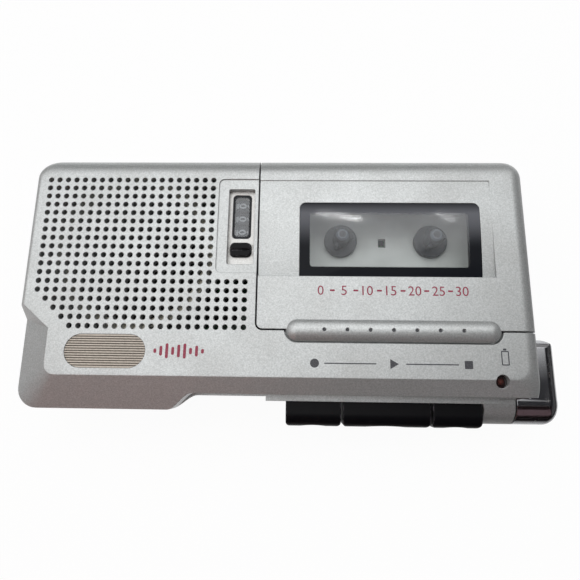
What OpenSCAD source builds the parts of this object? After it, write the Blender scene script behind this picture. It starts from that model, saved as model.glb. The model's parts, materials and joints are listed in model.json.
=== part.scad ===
// Microcassette recorder, lying on its back. Millimetres.
// X runs to the lever end, Y away from the keys, Z out of the front; the back lies on Z = 0.

/* [Body] */
// Length of the body from the speaker end to the lever end
body_w = 113; // [111:0.5:116]
// Depth of the body from the key side to the hinge side
body_h = 58; // [57.5:0.25:60]
// Thickness of the body from back to front
body_t = 24.5; // [24.25:0.25:25.5]
// Height of the rear shell, where the two shells meet
parting_z = 17; // [16.9:0.1:17.2]
// Wall of the two shells
wall = 1.6; // [1.4:0.1:1.7]
// Corner radius of the outline
corner_r = 4.5; // [3.5:0.25:5.5]
// Radius along the front's hinge edge
top_round = 5; // [4:0.25:5.25]
// Radius along the front's speaker-end edge
side_round = 1.4; // [1.2:0.1:2.2]
// Radius along the front's lever-end edge
lever_round = 3.6; // [3:0.1:4]
// Radius along the back's edges
back_round = 2; // [1:0.25:2.5]
// Width of the bevel along the key side and the speaker end
bevel_w = 7.2; // [6.4:0.2:7.6]
// Depth of that bevel
bevel_d = 3.7; // [3.4:0.1:4.2]
// Where the bevel of the speaker end stops, across the body
notch_y = -8.5; // [-10:0.5:-7]
// How far the outline steps in beside the keys
key_step = 3; // [2.5:0.25:3.5]
// Place of that step along the body
step_x = -20.5; // [-22:0.5:-19]
// Length of the step's S curve
step_run = 5.6; // [4.6:0.2:6.2]
// Lean of the step through the rear shell, in degrees
step_lean = 16; // [12:1:18]
// How much further the front shell's step goes in, behind the ledge
ledge_in = 0.6; // [0.4:0.1:0.8]
// Visible gap between a cover and its shell
gap = 0.35; // [0.3:0.05:0.45]
// Radial clearance of a running fit
run = 0.05; // [0.04:0.01:0.08]
// Clearance of a seated piece in its pocket
seat = 0.05; // [0.03:0.01:0.1]

/* [Grille] */
// Pitch of the speaker holes
hole_pitch = 2; // [1.95:0.01:2.02]
// Diameter of one speaker hole
hole_d = 1.2; // [0.9:0.05:1.35]
// First column of holes, from the speaker end
hole_end = 3.7; // [3.5:0.1:4.1]
// First row of holes, from the hinge side
hole_top = 6.4; // [6.2:0.1:7]
// Length of the oval microphone grille
mic_w = 17.6; // [16:0.2:18.4]
// Height of the oval microphone grille
mic_h = 7.2; // [6.8:0.1:7.4]
// Place of the microphone grille along the body
mic_x = -36.5; // [-36.8:0.1:-36]
// Place of the microphone grille across the body
mic_y = -16.75; // [-17.2:0.05:-16.6]
// Width of a slot between two ribs of the microphone grille
mic_slot = 0.2; // [0.16:0.02:0.26]
// Number of ribs on the microphone grille
mic_ribs = 14; // [12:1:15]

/* [Counter] */
// Middle of the counter along the body
count_x = -8.15; // [-8.2:0.05:-8.1]
// Width of the counter's opening
count_w = 6; // [5.8:0.05:6.05]
// Lower end of the counter's opening
count_y0 = 2.7; // [2.4:0.1:2.9]
// Length of the counter's opening
count_l = 17.8; // [17.4:0.1:18.2]
// Radius of a digit wheel
wheel_r = 2.9; // [2.7:0.05:2.95]
// Width of a digit wheel
wheel_w = 2.8; // [2.6:0.05:2.9]
// Pitch of the digit wheels
wheel_pitch = 3.2; // [3.1:0.05:3.3]
// Travel of the reset button
reset_travel = 1; // [0.8:0.1:1.2]

/* [Lid] */
// Speaker-end edge of the lid
lid_x0 = -4; // [-4.1:0.05:-3.9]
// Key-side edge of the lid
lid_y0 = -11.6; // [-12:0.1:-11.4]
// Thickness of the lid's face
lid_face = 3; // [2.9:0.1:3.1]
// Wall round the lid's sides
lid_wall = 1.4; // [1.2:0.1:1.6]
// Width of the window
win_w = 40.2; // [38:0.5:41]
// Height of the window
win_h = 17.1; // [16:0.1:18]
// Thickness of the window
win_t = 1.2; // [1:0.1:1.3]
// Radius of the window's two corners on the hinge side
win_corner = 1.4; // [1:0.1:1.8]
// Length of the grip bar
bar_w = 45.9; // [44:0.5:47]
// Width of the grip bar
bar_h = 4.9; // [4.6:0.1:5]
// How far the grip bar stands out of the face
bar_rise = 0.9; // [0.6:0.1:1.1]
// Number of dots on the grip bar
bar_dots = 7; // [5:1:8]
// Radius of the lid's corner beside the counter
lid_corner = 1.2; // [0.8:0.1:1.6]
// Radius of the hinge rod
rod_r = 0.6; // [0.5:0.05:0.65]

/* [Keys] */
// How far the keys stand out beside the step
key_out = 6.6; // [6.2:0.1:7]
// Height of the keys through the body
key_t = 9.4; // [9:0.1:9.6]
// Length of the record key
key_w1 = 12.4; // [12:0.1:12.6]
// Length of the play key
key_w2 = 19.6; // [19:0.1:19.8]
// Length of the stop key
key_w3 = 10.9; // [10.5:0.1:11.1]
// First edge of the row of keys
key_x0 = 2.3; // [2.2:0.1:2.6]
// Gap between two keys
key_gap = 0.5; // [0.4:0.05:0.55]
// Travel of a key
key_travel = 2.5; // [2:0.1:2.6]

/* [Lever] */
// Radius of the lever's barrel and of the lump beside it
lever_r = 5.2; // [5:0.05:5.3]
// Length of the lever's arm along the end, from its axis
lever_arm = 14; // [13:0.2:14.6]
// How far the lever stands out of the end
lever_out = 7.3; // [6.8:0.1:7.8]

/* [Battery] */
// Diameter of a cell
cell_d = 14.2; // [14:0.05:14.4]
// Room for the contacts at both ends of a cell
cell_room = 5.8; // [5.4:0.1:6.2]
// Width of the battery door
door_w = 31; // [30:0.25:31.5]
// Length of the battery door
door_l = 48; // [46:0.5:49]

/* [Deck] */
// Distance between the two reel spindles
reel_pitch = 22; // [21:0.25:22.5]
// Middle of the reels along the body
reel_x = 26.2; // [26:0.1:26.4]
// Line of the reels across the body
reel_y = 11.4; // [11:0.1:12]
// Thickness of the deck plate
deck_t = 1; // [0.8:0.1:1.2]
// Radius of a spindle's base
reel_r = 4; // [3.6:0.1:4.2]
// Radius of the capstan
cap_r = 1; // [0.8:0.05:1.1]
// Travel of the head plate
head_travel = 3; // [2.6:0.1:3.2]
// Radius of the pinch roller
pinch_r = 3; // [2.8:0.1:3.2]

/* [Drive] */
// Module of the gears
gear_m = 0.5; // [0.49:0.005:0.51]
// Teeth of the flywheel's pinion
pinion_n = 14; // [14:1:15]
// Teeth of the idler
idler_n = 22; // [21:1:23]
// Teeth of the take-up gear
takeup_n = 26; // [25:1:27]
// Radius of the flywheel
fly_r = 11; // [10.5:0.1:11.3]
// Radius of the motor
motor_r = 8.5; // [8:0.1:8.8]
// Radius of the motor's pulley
pulley_r = 2.2; // [2.1:0.05:2.4]

/* [Speaker] */
// Radius of the speaker
spk_r = 17.5; // [17:0.1:17.8]
// Place of the speaker along the body
spk_x = -32; // [-32.4:0.1:-31.8]
// Place of the speaker across the body
spk_y = 5.5; // [5.2:0.1:6]

/* [Sides] */
// Radius of the jack bores
jack_r = 1.8; // [1.75:0.01:1.85]
// Distance between the two jacks
jack_pitch = 8.6; // [8.4:0.1:8.7]
// Radius of the volume dial
dial_r = 7; // [6.6:0.1:7.1]
// Travel of a slide knob each way
knob_travel = 1.2; // [1:0.1:1.4]
// Radius of a case screw's shank
screw_r = 0.9; // [0.8:0.05:1]

/* [Hidden] */
$fn = 48;
hx = body_w / 2;
hy = body_h / 2;
front_in = body_t - wall;
step_y = -hy + key_step;
in_y0 = step_y + wall;
lid_rim = 19.5;
flange_t = 0.7;
deck_z = 12;
deck_top = deck_z + deck_t;
well_x = (lid_x0 + hx) / 2 - 0.05;
win_x0 = 25.25 - win_w / 2;
win_y0 = 0.05;
panel_x1 = 48;
panel_y1 = 22.6;
arch_y = 16;
arch_r = 128;
hinge_y = hy - 1.1;
hinge_z = parting_z + 1.3;
knuckle_r = 1.05;
hinge_x1 = hx - corner_r - 0.3;
ear_spots = [lid_x0 + 2, hinge_x1 - 5];
bar_x = 25.25;
bar_y = lid_y0 - 0.15;
axis_z = 11.55;
lever_y = step_y - 0.5;
lump_x = key_x0 + key_w1 + key_w2 + key_w3 + 2 * key_gap + 3.1;
lump_w = 4.1;
lever_x = lump_x + lump_w + gap;
arm_x = hx + 0.3;
lever_x1 = hx + lever_out;
lever_y1 = lever_y + lever_arm;
hole_x0 = -hx + hole_end;
hole_y0 = hy - hole_top;
lamp_x = 47.6;
lamp_y = -22.1;
cell_l = body_h - 2 * wall - cell_room;
cell_z = wall + 0.25 + cell_d / 2;
cell_x1 = -hx + wall + 0.2 + cell_d / 2;
cell_x2 = cell_x1 + cell_d + 0.4;
cell_wall_x = cell_x2 + cell_d / 2 + 0.3;
door_x1 = -hx + door_w;
cap_x = reel_x + reel_pitch / 2 + 3.8;
cap_y = reel_y - 14.4;
motor_x = 6.5;
motor_y = -5;
fly_z = 4.4;
fly_t = 3;
belt_z = fly_z + 1.1;
belt_w = 0.8;
gear_z = 8.6;
gear_t = 1.6;
worm_x = count_x - 4;
worm_y = count_y0 + 6.4;
worm_r = 1;
counter_z = front_in - 0.9 - wheel_r;
frame_z = counter_z - wheel_r - 2.2;
wheel_y0 = count_y0 + 8.2;
bezel_z = front_in - 0.6;
spring_y0 = in_y0 + 1.7;
rail_y = in_y0 + 5.3;
head_y0 = -17.4;
pinch_x = cap_x;
pinch_y = cap_y - cap_r - pinch_r - head_travel - 0.1;
jack_y = hy - 17.6;
jack_z = 8;
jack_l = 10;
dial_x = door_x1 + 13.5;
dial_y = hy + 1.2 - dial_r;
dial_z = 8.6;
dial_t = 3;
screw_spots = [[door_x1 + 3.2, hy - 4.4], [door_x1 + 3.2, -18.5], [51.2, -17.3], [-4.5, -16.5]];
deck_spots = [[1.5, hy - 5.2], [lid_x0 + 46, hy - 4.6], [2, -16.8], [46, -16.8]];
red_key = [0.09, 0.09, 0.1];
silver = [0.68, 0.68, 0.69];

// Outline rings and lofts
function arc_in(r, d) = d >= r ? 0 : r - sqrt(r * r - (r - d) * (r - d));
function bevel_in(d) = max(0, bevel_w * (1 - d / bevel_d));
function corner(cx, cy, r, a, n) =
    [for (i = [0:n]) [cx + r * cos(a + 90 * i / n), cy + r * sin(a + 90 * i / n)]];
function ring(x0, x1, y0, y1, ne, nw, sw, se, n) = concat(
    corner(x1 - ne, y1 - ne, ne, 0, n), corner(x0 + nw, y1 - nw, nw, 90, n),
    corner(x0 + sw, y0 + sw, sw, 180, n), corner(x1 - se, y0 + se, se, 270, n));
function notch_line(x, d) = notch_y - 0.762 * 0.793 * d - 0.85 * (x + hx - 3.1 + 0.648 * 0.793 * d);
function form_ring(off, d, n) =
    let (s = arc_in(max(side_round - off, 0.3), d), t = arc_in(max(top_round - off, 0.3), d),
        e = arc_in(max(lever_round - off, 0.3), d), k = max(0.6, corner_r - off - (e + t) / 2),
        b = bevel_in(d), c = max(0.6, corner_r - off - (s + t) / 2),
        x0 = -hx + off + s, xb = -hx + off + b, x1 = hx - off - e,
        y0 = -hy + off + b, y1 = hy - off - t,
        sw = max(0.6, corner_r - off - 0.3 * b), se = max(0.6, corner_r - off - 0.2 * b),
        ya = notch_line(x0 - off, d) + off, yb = min(notch_line(max(xb, x0 + 0.01) - off, d) + off, ya - 0.3))
    concat(
        corner(x1 - k, y1 - k, k, 0, n), corner(x0 + c, y1 - c, c, 90, n),
        [[x0, ya], [max(xb, x0), yb]],
        corner(max(xb, x0) + sw, y0 + sw, sw, 180, n), corner(x1 - se, y0 + se, se, 270, n));

module loft(rings) {
    n = len(rings[0][0]);
    m = len(rings);
    points = [for (r = rings) for (p = r[0]) [p[0], p[1], r[1]]];
    sides = [for (k = [0:m - 2]) for (i = [0:n - 1]) for (f = [0, 1])
        let (j = (i + 1) % n, a = k * n)
        f == 0 ? [a + i, a + n + i, a + n + j] : [a + i, a + n + j, a + j]];
    polyhedron(points, concat([[for (i = [0:n - 1]) i]],
        [[for (i = [n - 1:-1:0]) (m - 1) * n + i]], sides), convexity = 6);
}

// The outside of the body above the parting line, or the same set in by off
module form(off, levels, n) {
    top = body_t - off;
    loft(concat([[form_ring(off, bevel_d, n), parting_z - 1]],
        [for (i = [levels:-1:0]) let (d = bevel_d * (1 - cos(90 * i / levels))) [form_ring(off, d, n), top - d]]));
}

// The step beside the keys, set in by off and cut deeper by deep
module step_cut(off, deep) {
    pts = [for (i = [0:12]) let (t = i / 12)
        [step_x - step_run / 2 + step_run * t - off, -hy + off + (key_step + deep) * t * t * (3 - 2 * t)]];
    translate([0, 0, -2 * body_t])
        linear_extrude(6 * body_t)
            polygon(concat([[step_x - step_run / 2 - off, -hy - 9]], pts,
                [[hx + 9, step_y + deep + off], [hx + 9, -hy - 9]]));
}

// The same through the rear shell, leaning away from the keys towards the back
module rear_step(off) {
    translate([step_x, 0, parting_z])
        rotate([0, step_lean, 0])
            translate([-step_x, 0, -parting_z])
                step_cut(off, 0);
}

module box(a, b) {
    translate(a)
        cube([b[0] - a[0], b[1] - a[1], b[2] - a[2]]);
}

// A stadium along X, exact
module stadium(w, h) {
    square([w - h, h], center = true);
    translate([-(w - h) / 2, 0])
        circle(h / 2);
    translate([(w - h) / 2, 0])
        circle(h / 2);
}

// A rectangle with round corners, exact, from a to b
module round_rect(a, b, r) {
    translate([a[0] + r, a[1]])
        square([b[0] - a[0] - 2 * r, b[1] - a[1]]);
    translate([a[0], a[1] + r])
        square([b[0] - a[0], b[1] - a[1] - 2 * r]);
    for (x = [a[0] + r, b[0] - r])
        for (y = [a[1] + r, b[1] - r])
            translate([x, y])
                circle(r);
}

module tube(r1, r0, h) {
    difference() {
        cylinder(r = r1, h = h);
        translate([0, 0, -1])
            cylinder(r = r0, h = h + 2);
    }
}

// A wire along a helix about Z, made of rings
module coil(r, wire, len, turns, sides = 6, steps = 12) {
    m = turns * steps;
    points = [for (k = [0:m]) for (s = [0:sides - 1])
        let (a = 360 * k / steps, c = r + wire * cos(360 * s / sides))
        [c * cos(a), c * sin(a), wire + (len - 2 * wire) * k / m + wire * sin(360 * s / sides)]];
    skin = [for (k = [0:m - 1]) for (s = [0:sides - 1]) for (f = [0, 1])
        let (t = (s + 1) % sides, p = k * sides)
        f == 0 ? [p + s, p + sides + s, p + sides + t] : [p + s, p + sides + t, p + t]];
    polyhedron(points, concat([[for (s = [0:sides - 1]) s]],
        [[for (s = [sides - 1:-1:0]) m * sides + s]], skin), convexity = 10);
}

// Gears
function turned(p, a) = [p[0] * cos(a) - p[1] * sin(a), p[0] * sin(a) + p[1] * cos(a)];
function inv_deg(r, rb) = let (t = sqrt(max(0, r * r / (rb * rb) - 1))) t * 180 / PI - atan(t);
function tooth(n, m, back) =
    let (rp = n * m / 2, rb = rp * cos(20), ra = rp + 0.85 * m, rd = rp - 1.2 * m,
        half = 90 / n - back / rp * 90 / PI + inv_deg(rp, rb), r0 = max(rb, rd))
    concat(rd < rb ? [[rd, half]] : [],
        [for (i = [0:4]) let (r = r0 + (ra - r0) * i / 4) [r, half - inv_deg(r, rb)]]);
function gear_points(n, m, back) = let (h = tooth(n, m, back), c = len(h))
    [for (k = [0:n - 1]) for (i = [0:2 * c - 1])
        let (q = i < c ? h[i] : h[2 * c - 1 - i], a = 360 * k / n + (i < c ? -q[1] : q[1]))
        [q[0] * cos(a), q[0] * sin(a)]];
module gear(n, h, phase) {
    rotate([0, 0, phase])
        linear_extrude(h)
            polygon(gear_points(n, gear_m, 0.12));
}
function dir(a, b) = atan2(b[1] - a[1], b[0] - a[0]);
function meshed(phase_a, ab, na, nb) = ab + 180 - (phase_a - ab) * na / nb - 180 / nb;
gear_slack = 0.04;
cap_at = [cap_x, cap_y];
take_at = [reel_x + reel_pitch / 2, reel_y];
ra_len = (pinion_n + idler_n) * gear_m / 2 + gear_slack;
rb_len = (idler_n + takeup_n) * gear_m / 2 + gear_slack;
ct_len = norm(take_at - cap_at);
ct_a = (ra_len * ra_len - rb_len * rb_len + ct_len * ct_len) / (2 * ct_len);
ct_h = sqrt(ra_len * ra_len - ct_a * ct_a);
ct_u = (take_at - cap_at) / ct_len;
idler_at = cap_at + ct_a * ct_u + ct_h * [-ct_u[1], ct_u[0]];
pinion_phase = dir(cap_at, idler_at);
idler_phase = meshed(pinion_phase, dir(cap_at, idler_at), pinion_n, idler_n);
takeup_phase = meshed(idler_phase, dir(idler_at, take_at), idler_n, takeup_n);

// Housing
module lid_zone(off, z0) {
    translate([0, 0, z0])
        linear_extrude(body_t + 9 - z0)
            round_rect([lid_x0 - off, lid_y0 - off], [hx + 9, hy + 9], lid_corner + off);
}

module grille_holes() {
    for (r = [0:17])
        for (c = [(r < 14 ? 0 : r - 13):(r < 12 ? 19 : 23)])
            translate([hole_x0 + hole_pitch * c, hole_y0 - hole_pitch * r, front_in - 1])
                cylinder(d = hole_d, h = wall + 2, $fn = 16);
}

module front_shell() {
    color(silver)
        difference() {
            union() {
                difference() {
                    form(0, 10, 8);
                    step_cut(0, ledge_in);
                    box([-hx - 1, -hy - 1, parting_z - 2], [hx + 1, hy + 1, parting_z]);
                    difference() {
                        form(wall, 5, 4);
                        step_cut(wall, ledge_in);
                        lid_zone(gap + flange_t, lid_rim);
                        // Seat of the speaker
                        translate([spk_x, spk_y, front_in - 3])
                            tube(spk_r + 0.7, spk_r + seat, 9);
                        // Floor under the grip bar
                        box([bar_x - bar_w / 2 - 1.4, bar_y - bar_h / 2 - 1.4, body_t - 3.6],
                            [bar_x + bar_w / 2 + 1.4, lid_y0, body_t + 9]);
                        for (p = screw_spots)
                            translate([p[0], p[1], parting_z - 5])
                                cylinder(r = 2.3, h = 20);
                    }
                }
            }
            lid_zone(gap, parting_z - 3);
            // Way of the grip bar
            translate([bar_x, bar_y, body_t - 2])
                linear_extrude(9)
                    stadium(bar_w + 2 * gap, bar_h + 2 * gap);
            // Bore of the hinge rod
            translate([lid_x0 - 5, hinge_y, hinge_z])
                rotate([0, 90, 0])
                    cylinder(r = rod_r, h = 6);
            grille_holes();
            // Panel of the counter
            translate([0, 0, body_t - 0.3])
                linear_extrude(2)
                    round_rect([count_x - count_w / 2 - 2.3, count_y0 - 2], [lid_x0 + 2, count_y0 + count_l + 2.4], 1.2);
            translate([0, 0, front_in - 1])
                linear_extrude(9)
                    round_rect([count_x - count_w / 2, count_y0], [count_x + count_w / 2, count_y0 + count_l], 0.4);
            // Opening of the microphone
            translate([mic_x, mic_y, front_in - 1])
                linear_extrude(9)
                    stadium(mic_w, mic_h);
            // Hole of the lamp
            translate([lamp_x, lamp_y, front_in - 6])
                cylinder(r = 1.4, h = 20);
            for (p = screw_spots)
                translate([p[0], p[1], parting_z - 3])
                    cylinder(r = screw_r, h = 7);
        }
}

module rear_form() {
    difference() {
        loft(concat(
            [for (i = [0:5]) let (a = 18 * i, e = back_round * (1 - sin(a)), z = back_round * (1 - cos(a)), c = max(1, corner_r - e))
                [ring(-hx + e, hx - e, -hy + e, hy - e, c, c, c, c, 6), z]],
            [[ring(-hx, hx, -hy, hy, corner_r, corner_r, corner_r, corner_r, 6), parting_z]]));
        rear_step(0);
    }
}

module key_rim() {
    // Ledge round the keys
    box([key_x0 - 4.5, step_y - 1, 5], [lump_x + 0.5, step_y + wall / 2, parting_z]);
    // Half-round lump beside the lever, with a sloping shoulder
    difference() {
        translate([lump_x - 3, lever_y, axis_z])
            rotate([0, 90, 0])
                cylinder(r = lever_r, h = lump_w + 3);
        translate([lump_x - 3.1, lever_y - 1.2, axis_z - 9])
            rotate([0, 0, -52])
                translate([-12, -14, 0])
                    cube([12, 14, 18]);
    }
}

module rear_shell() {
    key_x1 = kx3 + key_w3;
    color(silver)
        difference() {
            union() {
                difference() {
                    rear_form();
                    difference() {
                        box([-hx + wall, -hy + wall, wall], [hx - wall, hy - wall, parting_z + 1]);
                        rear_step(wall);
                        // Wall beside the cells
                        box([cell_wall_x, -hy, 0], [cell_wall_x + 1, hy, 15.5]);
                        // Rail that the key springs push on
                        box([key_x0 + 1, rail_y, 0], [key_x1 - 1, rail_y + 1, 10.2]);
                        for (p = screw_spots)
                            translate([p[0], p[1], 0])
                                cylinder(r = 2.5, h = parting_z);
                        for (p = deck_spots)
                            translate([p[0], p[1], 0])
                                cylinder(r = 2, h = deck_z);
                        // Post of the counter frame
                        translate([count_x, count_y0 + 12, 0])
                            cylinder(r = 1.2, h = frame_z);
                        // Ears of the hinge rod
                        for (x = ear_spots)
                            box([x, hy - wall - 1, 11], [x + 2, hy, parting_z + 1]);
                        // Block that carries the lever's pin
                        box([lump_x - 2, step_y, axis_z - 4], [lump_x + lump_w, step_y + 6, axis_z + 4]);
                    }
                }
                key_rim();
                for (x = ear_spots)
                    difference() {
                        box([x, hinge_y - knuckle_r, parting_z - 1], [x + 2, hinge_y + knuckle_r, hinge_z]);
                        box([x - 1, hy - 0.02, 0], [x + 3, hy + 3, 30]);
                    }
                for (x = ear_spots)
                    translate([x, hinge_y, hinge_z])
                        rotate([0, 90, 0])
                            cylinder(r = knuckle_r, h = 2);
            }
            // Bore of the hinge rod in the ears
            translate([lid_x0 + 1, hinge_y, hinge_z])
                rotate([0, 90, 0])
                    cylinder(r = rod_r, h = hinge_x1 - lid_x0 - 1);
            // Window of the keys
            box([key_x0 - 0.3, -hy - 9, axis_z - key_t / 2 - 0.3], [key_x1 + 0.3, in_y0 + 0.01, axis_z + key_t / 2 + 0.3]);
            // Room for the lever's barrel
            translate([lump_x + lump_w, lever_y, axis_z])
                rotate([0, 90, 0])
                    cylinder(r = lever_r + 0.3, h = 20);
            // Bore of the lever's pin
            translate([lump_x - 1, lever_y, axis_z])
                rotate([0, 90, 0])
                    cylinder(r = 1.5, h = 20);
            // Opening of the battery door, its lip and its two tongues
            box([-hx - 1, -door_l / 2 - gap, -1], [door_x1 + gap, door_l / 2 + gap, wall + 0.01]);
            box([-hx - 1, -door_l / 2 - gap, -1], [-hx + wall + 0.01, door_l / 2 + gap, 5 + gap]);
            box([-hx - 1, -door_l / 2 - 0.9, 0.6], [door_x1 - 2, door_l / 2 + 0.9, wall + 0.01]);
            // Opening of the jack panel
            box([hx - wall - 0.01, jack_y - 4.1, 3], [hx + 1, jack_y + jack_pitch + 4.1, parting_z + 1]);
            // Slot of the volume dial
            box([dial_x - 6.6, hy - wall - 1, dial_z - 0.3], [dial_x + 6.6, hy + 1, dial_z + dial_t + 0.3]);
            // Slots of the two slide knobs
            for (y = [3, -6.4])
                box([hx - wall - 1, y - 1 - knob_travel - 0.3, 8.4], [hx + 1, y + 1 + knob_travel + 0.3, 10.6]);
            // Screw holes with room for the heads
            for (p = screw_spots)
                translate([p[0], p[1], -1]) {
                    cylinder(r = screw_r + 0.15, h = 30);
                    cylinder(r = 2.05, h = 2.3);
                }
            for (p = deck_spots)
                translate([p[0], p[1], deck_z - 5])
                    cylinder(r = 0.8, h = 9);
        }
}

// Lid
module arch(r) {
    translate([-hx, arch_y, body_t - arch_r])
        rotate([0, 90, 0])
            cylinder(r = r, h = 2 * body_w, $fn = 360);
}

// Outline of the window, wider by off
module win_shape(off) {
    translate([win_x0 - off, win_y0])
        square([win_w + 2 * off, win_h - win_corner]);
    round_rect([win_x0 - off, win_y0 + 2], [win_x0 + win_w + off, win_y0 + win_h + off], win_corner);
}

module grip_bar() {
    bulge_r = 3.2;
    intersection() {
        translate([bar_x, bar_y, body_t - 1.6])
            linear_extrude(6)
                stadium(bar_w, bar_h);
        translate([bar_x - bar_w / 2, bar_y, body_t + bar_rise - bulge_r])
            rotate([0, 90, 0])
                rotate_extrude()
                    intersection() {
                        union() {
                            translate([0, bar_h / 2])
                                square([bulge_r, bar_w - bar_h]);
                            translate([0, bar_h / 2])
                                circle(bulge_r);
                            translate([0, bar_w - bar_h / 2])
                                circle(bulge_r);
                        }
                        translate([0, -9])
                            square([9, bar_w + 18]);
                    }
    }
}

module cassette_lid() {
    color(silver)
        difference() {
            union() {
                difference() {
                    intersection() {
                        form(0, 10, 8);
                        lid_zone(0, parting_z + 0.25);
                    }
                    // Inside of the lid
                    box([lid_x0 + lid_wall, lid_y0 + lid_wall, 0], [hx - lid_wall, hy - lid_wall, body_t - lid_face]);
                    box([lid_x0 - 1, lid_y0 - 1, 0], [hx - lid_wall, hinge_y - 2.4, lid_rim]);
                    // Room round the knuckles
                    box([lid_x0 - 1, hinge_y - 2.4, 0], [hinge_x1 + 0.2, hy + 1, hinge_z]);
                    box([hinge_x1, hinge_y - 0.2, 0], [hx + 1, hy + 1, hinge_z]);
                    box([hx - lid_wall - 1, lid_y0 - 1, 0], [hx + 1, lid_y0 + 2, parting_z + 0.6]);
                    // Curved panel round the window
                    difference() {
                        box([lid_x0 - 1, win_y0, body_t - 3], [panel_x1, panel_y1, body_t + 1]);
                        arch(arch_r);
                    }
                }
                translate([lid_x0, hinge_y, hinge_z])
                    rotate([0, 90, 0])
                        cylinder(r = knuckle_r, h = hinge_x1 - lid_x0);
                grip_bar();
            }
            // Gaps for the ears of the rear shell
            for (x = ear_spots)
                box([x - 0.25, hinge_y - 1.6, 0], [x + 2.25, hy + 1, hinge_z + 1.5]);
            translate([lid_x0 - 1, hinge_y, hinge_z])
                rotate([0, 90, 0])
                    cylinder(r = rod_r + run, h = hinge_x1 - lid_x0 + 0.6);
            // Seat of the window and the opening under it
            difference() {
                linear_extrude(body_t + 9)
                    win_shape(seat);
                arch(arch_r - win_t);
            }
            box([win_x0 + 1.2, win_y0 + 1.2, 0], [win_x0 + win_w - 1.2, win_y0 + win_h - 1.2, body_t + 9]);
            // Dots of the grip bar
            for (i = [0:bar_dots - 1])
                translate([bar_x + 4.9 * (i - (bar_dots - 1) / 2), bar_y, body_t + bar_rise - 0.35])
                    cylinder(r = 0.42, h = 2);
        }
}

module lid_window() {
    color([0.1, 0.09, 0.08, 0.6])
        intersection() {
            difference() {
                arch(arch_r);
                arch(arch_r - win_t);
            }
            linear_extrude(body_t + 9)
                win_shape(0);
        }
}

module hinge_rod() {
    color([0.7, 0.7, 0.72])
        translate([lid_x0 - 4.5, hinge_y, hinge_z])
            rotate([0, 90, 0])
                cylinder(r = rod_r, h = hinge_x1 - lid_x0 + 4);
}

// Front details
module mic_grille() {
    color([0.6, 0.58, 0.54])
        translate([mic_x, mic_y, 0])
            difference() {
                union() {
                    translate([0, 0, front_in - 0.01])
                        linear_extrude(wall - 0.09)
                            stadium(mic_w - 2 * seat, mic_h - 2 * seat);
                    // Flange under the shell, cut off short of the bevel's inside
                    translate([0, 0, front_in - 0.6])
                        linear_extrude(0.6)
                            difference() {
                                stadium(mic_w + 1.4, mic_h + 0.7);
                                translate([-mic_w, -mic_h - 9])
                                    square([2 * mic_w, mic_h + 9 - hy + wall + bevel_w + seat - mic_y]);
                            }
                }
                for (i = [1:mic_ribs - 1])
                    translate([-mic_w, (i / mic_ribs - 0.5) * mic_h - mic_slot / 2, body_t - 0.7])
                        cube([2 * mic_w, mic_slot, 3]);
            }
}

module counter_bezel() {
    x0 = count_x - count_w / 2;
    x1 = count_x + count_w / 2;
    color([0.62, 0.62, 0.62])
        translate([0, 0, bezel_z])
            difference() {
                linear_extrude(0.6)
                    round_rect([x0 - 0.7, count_y0 - 0.8], [x1, count_y0 + count_l + 0.8], 0.3);
                translate([0, 0, -1])
                    linear_extrude(3)
                        round_rect([x0 + 0.8, count_y0 + 6.3], [x1 - 0.85, count_y0 + count_l - 0.9], 0.9);
                translate([0, 0, -1])
                    linear_extrude(3)
                        round_rect([x0 + 0.5, count_y0 + 1.9], [x1 - 0.6, count_y0 + 5.3], 1.1);
            }
}

module counter_lens() {
    x0 = count_x - count_w / 2;
    x1 = count_x + count_w / 2;
    color([0.8, 0.82, 0.85, 0.4])
        translate([0, 0, bezel_z + 0.05])
            linear_extrude(0.4)
                round_rect([x0 + 0.8 + seat, count_y0 + 6.3 + seat], [x1 - 0.85 - seat, count_y0 + count_l - 0.9 - seat], 0.85);
}

module reset_button() {
    x0 = count_x - count_w / 2 + 0.5;
    x1 = count_x + count_w / 2 - 0.6;
    color([0.08, 0.08, 0.08])
        difference() {
            union() {
                translate([0, 0, bezel_z - 1.2])
                    linear_extrude(2.6)
                        round_rect([x0 + 0.12, count_y0 + 2.02], [x1 - 0.12, count_y0 + 5.18], 1.05);
                translate([0, 0, bezel_z - 1.2])
                    linear_extrude(0.7)
                        round_rect([x0 - 0.3, count_y0 + 1.6], [x1 + 0.3, count_y0 + 5.5], 0.5);
                translate([(x0 + x1) / 2, count_y0 + 3.6, bezel_z - 3])
                    cylinder(r = 1, h = 2);
            }
            box([x0 - 1, count_y0 + 3.45, bezel_z + 1.1], [x1 + 1, count_y0 + 3.75, bezel_z + 3]);
        }
}

module record_lamp() {
    color([0.35, 0.07, 0.06])
        translate([lamp_x, lamp_y, front_in - 3.6]) {
            cylinder(r = 1.35, h = 3.9);
            cylinder(r = 1.7, h = 0.7);
        }
}

// Keys
module key_profile() {
    r = 3;
    y1 = step_y - key_out;
    translate([axis_z - key_t / 2, y1 + r])
        square([key_t, in_y0 + 0.6 - y1 - r]);
    translate([axis_z - key_t / 2 + r, y1])
        square([key_t - 2 * r, 2 * r]);
    for (s = [-1, 1])
        translate([axis_z + s * (key_t / 2 - r), y1 + r])
            circle(r);
}

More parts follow.
